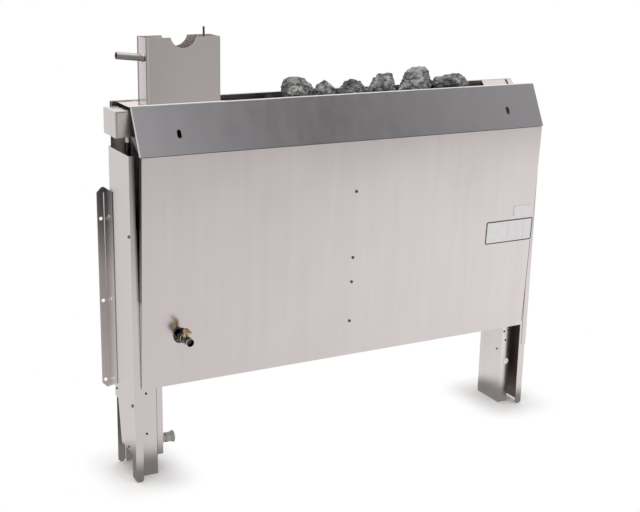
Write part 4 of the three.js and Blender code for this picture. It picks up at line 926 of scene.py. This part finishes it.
# A near-black sleeve inside the inlet's bore, as painted shade
SHADE_SLEEVE, SHADE_SLEEVE_GAP = 0.0003, 0.00005
SHADE_SLEEVE_START, SHADE_SLEEVE_STOP = 0.0005, 0.0012
MOUTH_EASE = 0.0004
WELD_BEAD = ((-0.0004, 0.0), (0.0008, 0.0014), (0.0016, 0.0011), (0.0026, 0.0))  # along, and out
inlet_out = Vector((-math.cos(INLET_RISE), 0.0, math.sin(INLET_RISE)))
inlet_root = far_end("water_inlet_tube", -inlet_out)
inlet_long = (far_end("water_inlet_tube", inlet_out) - inlet_root).length
weld = (inlet_root.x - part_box("steam_head")[0].x) / math.cos(INLET_RISE)
tube = turned(
    [
        (0.0, INLET_BORE),
        (0.0, INLET_RADIUS),
        *[(weld + along, INLET_RADIUS + out) for along, out in WELD_BEAD],
        (inlet_long - MOUTH_EASE, INLET_RADIUS),
        (inlet_long, INLET_RADIUS - 0.0003),
        (inlet_long, INLET_BORE + 0.0002),
        (inlet_long - MOUTH_EASE, INLET_BORE),
    ],
    joined=True,
)
shade_sleeve_radius = INLET_BORE - SHADE_SLEEVE_GAP
shade_sleeve = turned(
    [
        (SHADE_SLEEVE_START, shade_sleeve_radius - SHADE_SLEEVE),
        (SHADE_SLEEVE_START, shade_sleeve_radius),
        (inlet_long - SHADE_SLEEVE_STOP, shade_sleeve_radius),
        (inlet_long - SHADE_SLEEVE_STOP, shade_sleeve_radius - SHADE_SLEEVE),
    ],
    joined=True,
)
tube_shapes = [placed(tube, inlet_root, inlet_out)]
add_piece("inlet_tube_detail", tube_shapes, tube_steel, "steam_head", ["water_inlet_tube"])
add_piece("inlet_bore", [placed(shade_sleeve, inlet_root, inlet_out)], shade_black_steel, "steam_head")

# Hole plug
PLUG_CROWN, PLUG_REACH, PLUG_STANDS_OUT = 0.0018, 0.004, 0.0003
plug_low, plug_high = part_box("hole_plug")
plug_radius = (plug_high.x - plug_low.x) / 2
plug_seat = (plug_low + plug_high) / 2
plug_seat.y = at(0, LEG_FACE, 0).y - PLUG_STANDS_OUT
plug = turned(
    [
        (-PLUG_REACH, 0.78 * plug_radius),
        (0.0, 0.78 * plug_radius),
        (0.0, plug_radius),
        (0.3 * PLUG_CROWN, plug_radius),
        (0.7 * PLUG_CROWN, 0.92 * plug_radius),
        (0.95 * PLUG_CROWN, 0.7 * plug_radius),
        (PLUG_CROWN, 0.4 * plug_radius),
    ]
)
plug_shapes = [placed(plug, plug_seat, FRONT)]
add_piece("hole_plug_detail", plug_shapes, white_plastic, stands_for=["hole_plug"])

# Ruling on the blank rating plate, and a dark strip of painted shade along the seam below it, in millimetres
# on the panel
PLATE_RIGHT, PLATE_BOTTOM, PLATE_WIDE, PLATE_HIGH, PLATE_CORNER = 999.5, 225.0, 136.0, 56.0, 4.0
PLATE_FRONT = 1.1
INK_FRONT = PLATE_FRONT + 0.08
FRAME_INSET, FRAME_LINE = 0.2, 2.4
RULES, RULE_LINE, RULE_MARGIN = (0.47, 0.66, 0.80), 0.5, 5.0
CORNER_STEPS = 8
SEAM_LEFT, SEAM_RIGHT, SEAM_LOW, SEAM_HIGH, SEAM_FRONT = 998.9, 999.9, 10, 222, 0.2


def rounded(inset, out):
    """The plate's outline moved in, at a distance from the panel."""
    corner = PLATE_CORNER - inset
    x0, x1 = PLATE_RIGHT - PLATE_WIDE + PLATE_CORNER, PLATE_RIGHT - PLATE_CORNER
    z0, z1 = PLATE_BOTTOM + PLATE_CORNER, PLATE_BOTTOM + PLATE_HIGH - PLATE_CORNER
    points = []
    for quarter, (x, z) in enumerate(((x1, z1), (x0, z1), (x0, z0), (x1, z0))):
        for step in range(CORNER_STEPS + 1):
            angle = math.pi / 2 * (quarter + step / CORNER_STEPS)
            points.append(on_panel(x + corner * math.cos(angle), out, z + corner * math.sin(angle)))
    return points


def panel_bar(corners, back, front):
    """A flat bar on the panel from its (x, up) corners and its distances from the panel."""
    return skin([[on_panel(x, out, up) for x, up in corners] for out in (back, front)])


frame_line = skin(
    [
        rounded(FRAME_INSET, PLATE_FRONT),
        rounded(FRAME_INSET, INK_FRONT),
        rounded(FRAME_INSET + FRAME_LINE, INK_FRONT),
        rounded(FRAME_INSET + FRAME_LINE, PLATE_FRONT),
    ],
    joined=True,
)
add_piece("rating_plate_frame", [frame_line], ink_and_shade)

# Painted shade: a dark strip along the seam below the plate
seam = panel_bar(oblong(SEAM_LEFT, SEAM_RIGHT, SEAM_LOW, SEAM_HIGH), 0.0, SEAM_FRONT)
add_piece("panel_seam_shade_right", [seam], ink_and_shade)

rules = []
for share in RULES:
    x = PLATE_RIGHT - PLATE_WIDE * (1.0 - share)
    rule_top = PLATE_BOTTOM + PLATE_HIGH - RULE_MARGIN
    corners = oblong(x, x + RULE_LINE, PLATE_BOTTOM + RULE_MARGIN, rule_top)
    rules.append(panel_bar(corners, PLATE_FRONT, INK_FRONT))
add_piece("rating_plate_rules", rules, ink_grey)

# Lid on the terminal cover, with a black plate behind it as painted shade in the gap along its left and top
LID_LEFT, LID_TOP, LID_EDGE, LID_LIP = 0.0045, 0.003, 0.001, 0.0003
LID_THICK, LID_LIFT = 0.0008, 0.0005
GAP_GROWS, GAP_THICK = 0.0009, 0.0004
cover_low, cover_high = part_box("terminal_cover")


def face_plate(grow, lift, thick):
    """A plate with bevelled edges on the cover's front face."""
    x0, x1 = cover_low.x + LID_LEFT - grow, cover_high.x - LID_EDGE
    z0, z1 = cover_low.z + LID_EDGE, cover_high.z - LID_TOP + grow
    rings = []
    for inset, out in ((0.0, 0.0), (0.0, thick - LID_LIP), (LID_LIP, thick)):
        corners = oblong(x0 + inset, x1 - inset, z0 + inset, z1 - inset)
        rings.append([Vector((x, cover_low.y - lift - out, z)) for x, z in corners])
    return skin(rings)


# Painted shade: a black plate that shows in the gap round the lid
add_piece("terminal_gap_shade", [face_plate(GAP_GROWS, 0.0, GAP_THICK)], black_plastic)
add_piece("terminal_lid", [face_plate(0.0, LID_LIFT, LID_THICK)], lid_steel)

# Hem along the top of the hood, wider as far as the top cover goes, in brighter steel as a painted highlight
HEM_END = 0.001
HEM_WIDE = ((-0.0259, 0.8127), (-0.02175, 0.8167), (-0.02175, 0.8155))
HEM_NARROW = ((-0.0247, 0.8142), (-0.0226, 0.8162), (-0.0222, 0.8155))
hood_low, hood_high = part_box("top_hood")
cover_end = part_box("top_cover")[1].x
hem_left = strip(HEM_WIDE, hood_low.x + HEM_END, cover_end)
hem_right = strip(HEM_NARROW, cover_end, hood_high.x - HEM_END)
add_piece("hood_hem_left", [hem_left], highlight_steel)
add_piece("hood_hem_right", [hem_right], highlight_steel)

# Edge down the hood's left end, in brighter steel as a painted highlight
EDGE_LINE = 0.0012
hood_end = [vert.co for vert in nodes["top_hood"].data.vertices if vert.co.x < hood_low.x + WELD_DISTANCE]
edge_bottom = min(hood_end, key=lambda point: point.y)
edge_top = max(hood_end, key=lambda point: point.z - point.y)
edge_up = (edge_top - edge_bottom).normalized()
edge_out = edge_up.cross(LEFT)
edge_rings = []
for place in (edge_bottom + edge_up * HEM_END, edge_top - edge_up * HEM_END):
    outer = place + LEFT * EDGE_LINE / 2 - edge_out * EDGE_LINE
    inner = place + RIGHT * EDGE_LINE + edge_out * EDGE_LINE / 2
    behind = place + RIGHT * EDGE_LINE / 2 - edge_out * EDGE_LINE / 2
    edge_rings.append([outer, inner, behind])
add_piece("hood_edge_left", [skin(edge_rings)], highlight_steel)

# Bright hem at the right end of the rear wall, in two lengths from the end
WALL_HEM, WALL_HEM_DROP, WALL_HEM_SUNK = 0.011, 0.0005, 0.0002
WALL_HEM_LENGTHS = ((0.089, 0.021), (0.015, 0.001))
wall_low, wall_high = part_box("rear_wall")
hem_top = wall_high.z - WALL_HEM_DROP
hem_corners = (
    (wall_low.y + WALL_HEM_SUNK, hem_top),
    (wall_low.y - WALL_HEM, hem_top - WALL_HEM),
    (wall_low.y + WALL_HEM_SUNK, hem_top - WALL_HEM),
)
wall_hems = [strip(hem_corners, wall_high.x - start, wall_high.x - end) for start, end in WALL_HEM_LENGTHS]
add_piece("wall_hem_right", wall_hems, satin_level)

# Dark strip in the seam between the left inner leg and the connection box, as painted shade
LEG_SEAM, LEG_SEAM_TOP, LEG_SEAM_OUT = 0.0008, 0.23, 0.0002
leg_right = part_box("inner_leg_left")[1].x
box_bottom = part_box("connection_box")[0].z
leg_front = at(0, LEG_FACE, 0).y
seam_corners = oblong(leg_right - LEG_SEAM, leg_right, box_bottom, LEG_SEAM_TOP)
seam_rings = []
for out in (-LEG_SEAM_OUT, LEG_SEAM_OUT):
    seam_rings.append([Vector((x, leg_front - out, z)) for x, z in seam_corners])
add_piece("leg_seam_shade_left", [skin(seam_rings)], screw_steel)

# Folds of the wall brackets, which taper downwards
FOLD, FOLD_TIP = 0.0016, 0.00016
FOLD_START, FOLD_STOP = 0.2, 0.012
BRACKET_SHEET = 0.0015
for side, outward in (("left", -1.0), ("right", 1.0)):
    low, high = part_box(f"wall_bracket_{side}")
    x = (low.x if outward > 0 else high.x) + outward * BRACKET_SHEET
    y = high.y - BRACKET_SHEET
    rings = []
    for z, size in ((low.z + FOLD_START, FOLD_TIP), (high.z - FOLD_STOP, FOLD)):
        rings.append([Vector((x, y, z)), Vector((x + outward * size, y, z)), Vector((x, y - size, z))])
    add_piece(f"bracket_fold_{side}", [skin(rings)], bright_upright)


# Stage
class StageShader(Shader):
    """A node tree of the stage."""

    def near(self, field, start, end, low, high):
        """A field's part from start to end, spread softly over low to high."""
        return self.spread(field, start, end, low, high, "SMOOTHSTEP")

    def place(self):
        geometry = self.nodes.new("ShaderNodeNewGeometry")
        return self.split(geometry.outputs["Position"])

    def glow(self, colour, strength=1.0):
        node = self.nodes.new("ShaderNodeEmission")
        self.set(node.inputs["Color"], colour)
        self.set(node.inputs["Strength"], strength)
        return node.outputs["Emission"]

    def background(self, strength):
        node = self.nodes.new("ShaderNodeBackground")
        node.inputs["Color"].default_value = WHITE
        node.inputs["Strength"].default_value = strength
        return node.outputs["Background"]

    def mix(self, share, first, second):
        node = self.nodes.new("ShaderNodeMixShader")
        self.links.new(share, node.inputs["Fac"])
        self.links.new(first, node.inputs[1])
        self.links.new(second, node.inputs[2])
        return node.outputs["Shader"]

    def finish(self, shader, kind):
        self.links.new(shader, self.nodes.new(kind).inputs["Surface"])


def stage_material(name):
    made = bpy.data.materials.new(name)
    made.use_nodes = True
    made.node_tree.nodes.clear()
    return made, StageShader(made.node_tree)


def floor_material():
    """A pale floor: it keeps shadows by the feet, is white further off, is dimmer in mirrors in front, and
    has a painted shadow near the feet in mirrors.
    """
    made, tree = stage_material("floor")
    place = tree.place()
    wide = tree.math("ABSOLUTE", place["X"])
    beyond = tree.math("SUBTRACT", wide, FEET_OUTSIDE)
    between = tree.math("SUBTRACT", FEET_INSIDE, wide)
    aside = tree.math("MAXIMUM", tree.math("MAXIMUM", beyond, between), 0.0)
    deep = tree.math("ABSOLUTE", tree.math("SUBTRACT", place["Y"], FEET_MIDDLE))
    away = tree.math("MAXIMUM", tree.math("SUBTRACT", deep, FEET_DEEP), 0.0)
    square = tree.math("ADD", tree.math("POWER", aside, 2.0), tree.math("POWER", away, 2.0))
    distance = tree.math("SQRT", square)
    path = tree.nodes.new("ShaderNodeLightPath")
    white_share = tree.near(distance, *FLOOR_WHITENS)
    seen = tree.math("MULTIPLY", path.outputs["Is Camera Ray"], white_share)
    mirrored = tree.math("ADD", path.outputs["Is Glossy Ray"], path.outputs["Is Transmission Ray"])
    front = tree.near(place["Y"], *MIRRORED_AHEAD)
    across = tree.near(place["X"], *MIRRORED_ACROSS)
    back = tree.near(place["Y"], *MIRRORED_BEHIND)
    ahead = tree.math("MULTIPLY", tree.math("MULTIPLY", front, across), tree.math("SUBTRACT", 1.0, back))
    lit = tree.math("ADD", ahead, tree.math("MULTIPLY", back, BRIGHTNESS_BEHIND))
    # Painted shadow: the floor in reflections is darker near the feet
    dimmed_by_painted_shadow = tree.math("MULTIPLY", lit, tree.near(distance, *MIRRORED_BY_FEET))
    cloth = tree.nodes.new("ShaderNodeBsdfDiffuse")
    cloth.inputs["Color"].default_value = FLOOR_COLOUR
    shown = tree.mix(seen, cloth.outputs["BSDF"], tree.glow(WHITE))
    tree.finish(tree.mix(mirrored, shown, tree.glow(WHITE, dimmed_by_painted_shadow)), "ShaderNodeOutputMaterial")
    return made


def card_material():
    """A dim room for the reflections: lighter low down, cool and darker higher up, darkest in the middle."""
    made, tree = stage_material("card")
    place = tree.place()
    colour = tree.ramp(
        tree.math("DIVIDE", place["Z"], CARD_HEIGHT),
        (0.0, (0.63, 0.62, 0.61)),
        (0.12, (0.56, 0.56, 0.56)),
        (0.35, (0.50, 0.524, 0.552)),
        (1.0, (0.49, 0.514, 0.542)),
    )
    strength = tree.ramp(
        tree.math("ADD", tree.math("DIVIDE", place["X"], CARD_WIDTH), 0.5),
        (0.40, (1.0, 1.0, 1.0)),
        (0.54, (0.95, 0.95, 0.95)),
        (0.64, (0.26, 0.26, 0.26)),
        (0.75, (0.66, 0.66, 0.66)),
        (0.92, (0.8, 0.8, 0.8)),
    )
    tree.finish(tree.glow(colour, strength), "ShaderNodeOutputMaterial")
    return made


def plane(name, corners, material):
    mesh = bpy.data.meshes.new(name)
    mesh.from_pydata(corners, [], [(0, 1, 2, 3)])
    mesh.materials.append(material)
    obj = bpy.data.objects.new(name, mesh)
    bpy.context.scene.collection.objects.link(obj)
    obj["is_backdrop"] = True
    return obj


half = FLOOR_SIZE / 2
floor_corners = [(-half, -half, 0.0), (half, -half, 0.0), (half, half, 0.0), (-half, half, 0.0)]
plane("floor", floor_corners, floor_material())
card_outline = oblong(-CARD_WIDTH / 2, CARD_WIDTH / 2, 0.0, CARD_HEIGHT)
card = plane("card", [(x, -CARD_DISTANCE, z) for x, z in card_outline], card_material())
card.visible_camera = False
card.visible_diffuse = False
card.visible_shadow = False
card.visible_transmission = False

# Light
lamp_data = bpy.data.lights.new("lamp", "AREA")
lamp_data.shape = "SQUARE"
lamp_data.size = LAMP_SIZE
lamp_data.energy = LAMP_POWER
lamp = bpy.data.objects.new("lamp", lamp_data)
lamp.location = LAMP_PLACE
lamp.visible_glossy = False
bpy.context.scene.collection.objects.link(lamp)

world = bpy.data.worlds.new("world")
bpy.context.scene.world = world
world.use_nodes = True
world.node_tree.nodes.clear()
sky = StageShader(world.node_tree)
rays = sky.nodes.new("ShaderNodeLightPath").outputs
direct = sky.math("ADD", rays["Is Camera Ray"], rays["Is Glossy Ray"])
seen_sky = sky.math("ADD", direct, rays["Is Transmission Ray"])
sky_shader = sky.mix(seen_sky, sky.background(SOFT_LIGHT), sky.background(1.0))
sky.finish(sky_shader, "ShaderNodeOutputWorld")

# Camera
back = Vector(
    (
        math.sin(CAMERA_AZIMUTH) * math.cos(CAMERA_ELEVATION),
        -math.cos(CAMERA_AZIMUTH) * math.cos(CAMERA_ELEVATION),
        math.sin(CAMERA_ELEVATION),
    )
)
level = UP.cross(back).normalized()
raised = back.cross(level)
rightward = math.cos(CAMERA_ROLL) * level + math.sin(CAMERA_ROLL) * raised
upward = back.cross(rightward)
camera_data = bpy.data.cameras.new("camera")
camera_data.lens = CAMERA_LENS
camera_data.sensor_width = SENSOR_WIDTH
camera_data.dof.use_dof = False
camera = bpy.data.objects.new("camera", camera_data)
turn = Matrix((rightward, upward, back)).transposed().to_4x4()
camera.matrix_world = Matrix.Translation(CAMERA_PLACE) @ turn
bpy.context.scene.collection.objects.link(camera)
bpy.context.scene.camera = camera
bpy.context.scene.view_settings.view_transform = "Standard"

shown_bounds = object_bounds()
corners = {"cad": cad_bounds, "shown": shown_bounds}
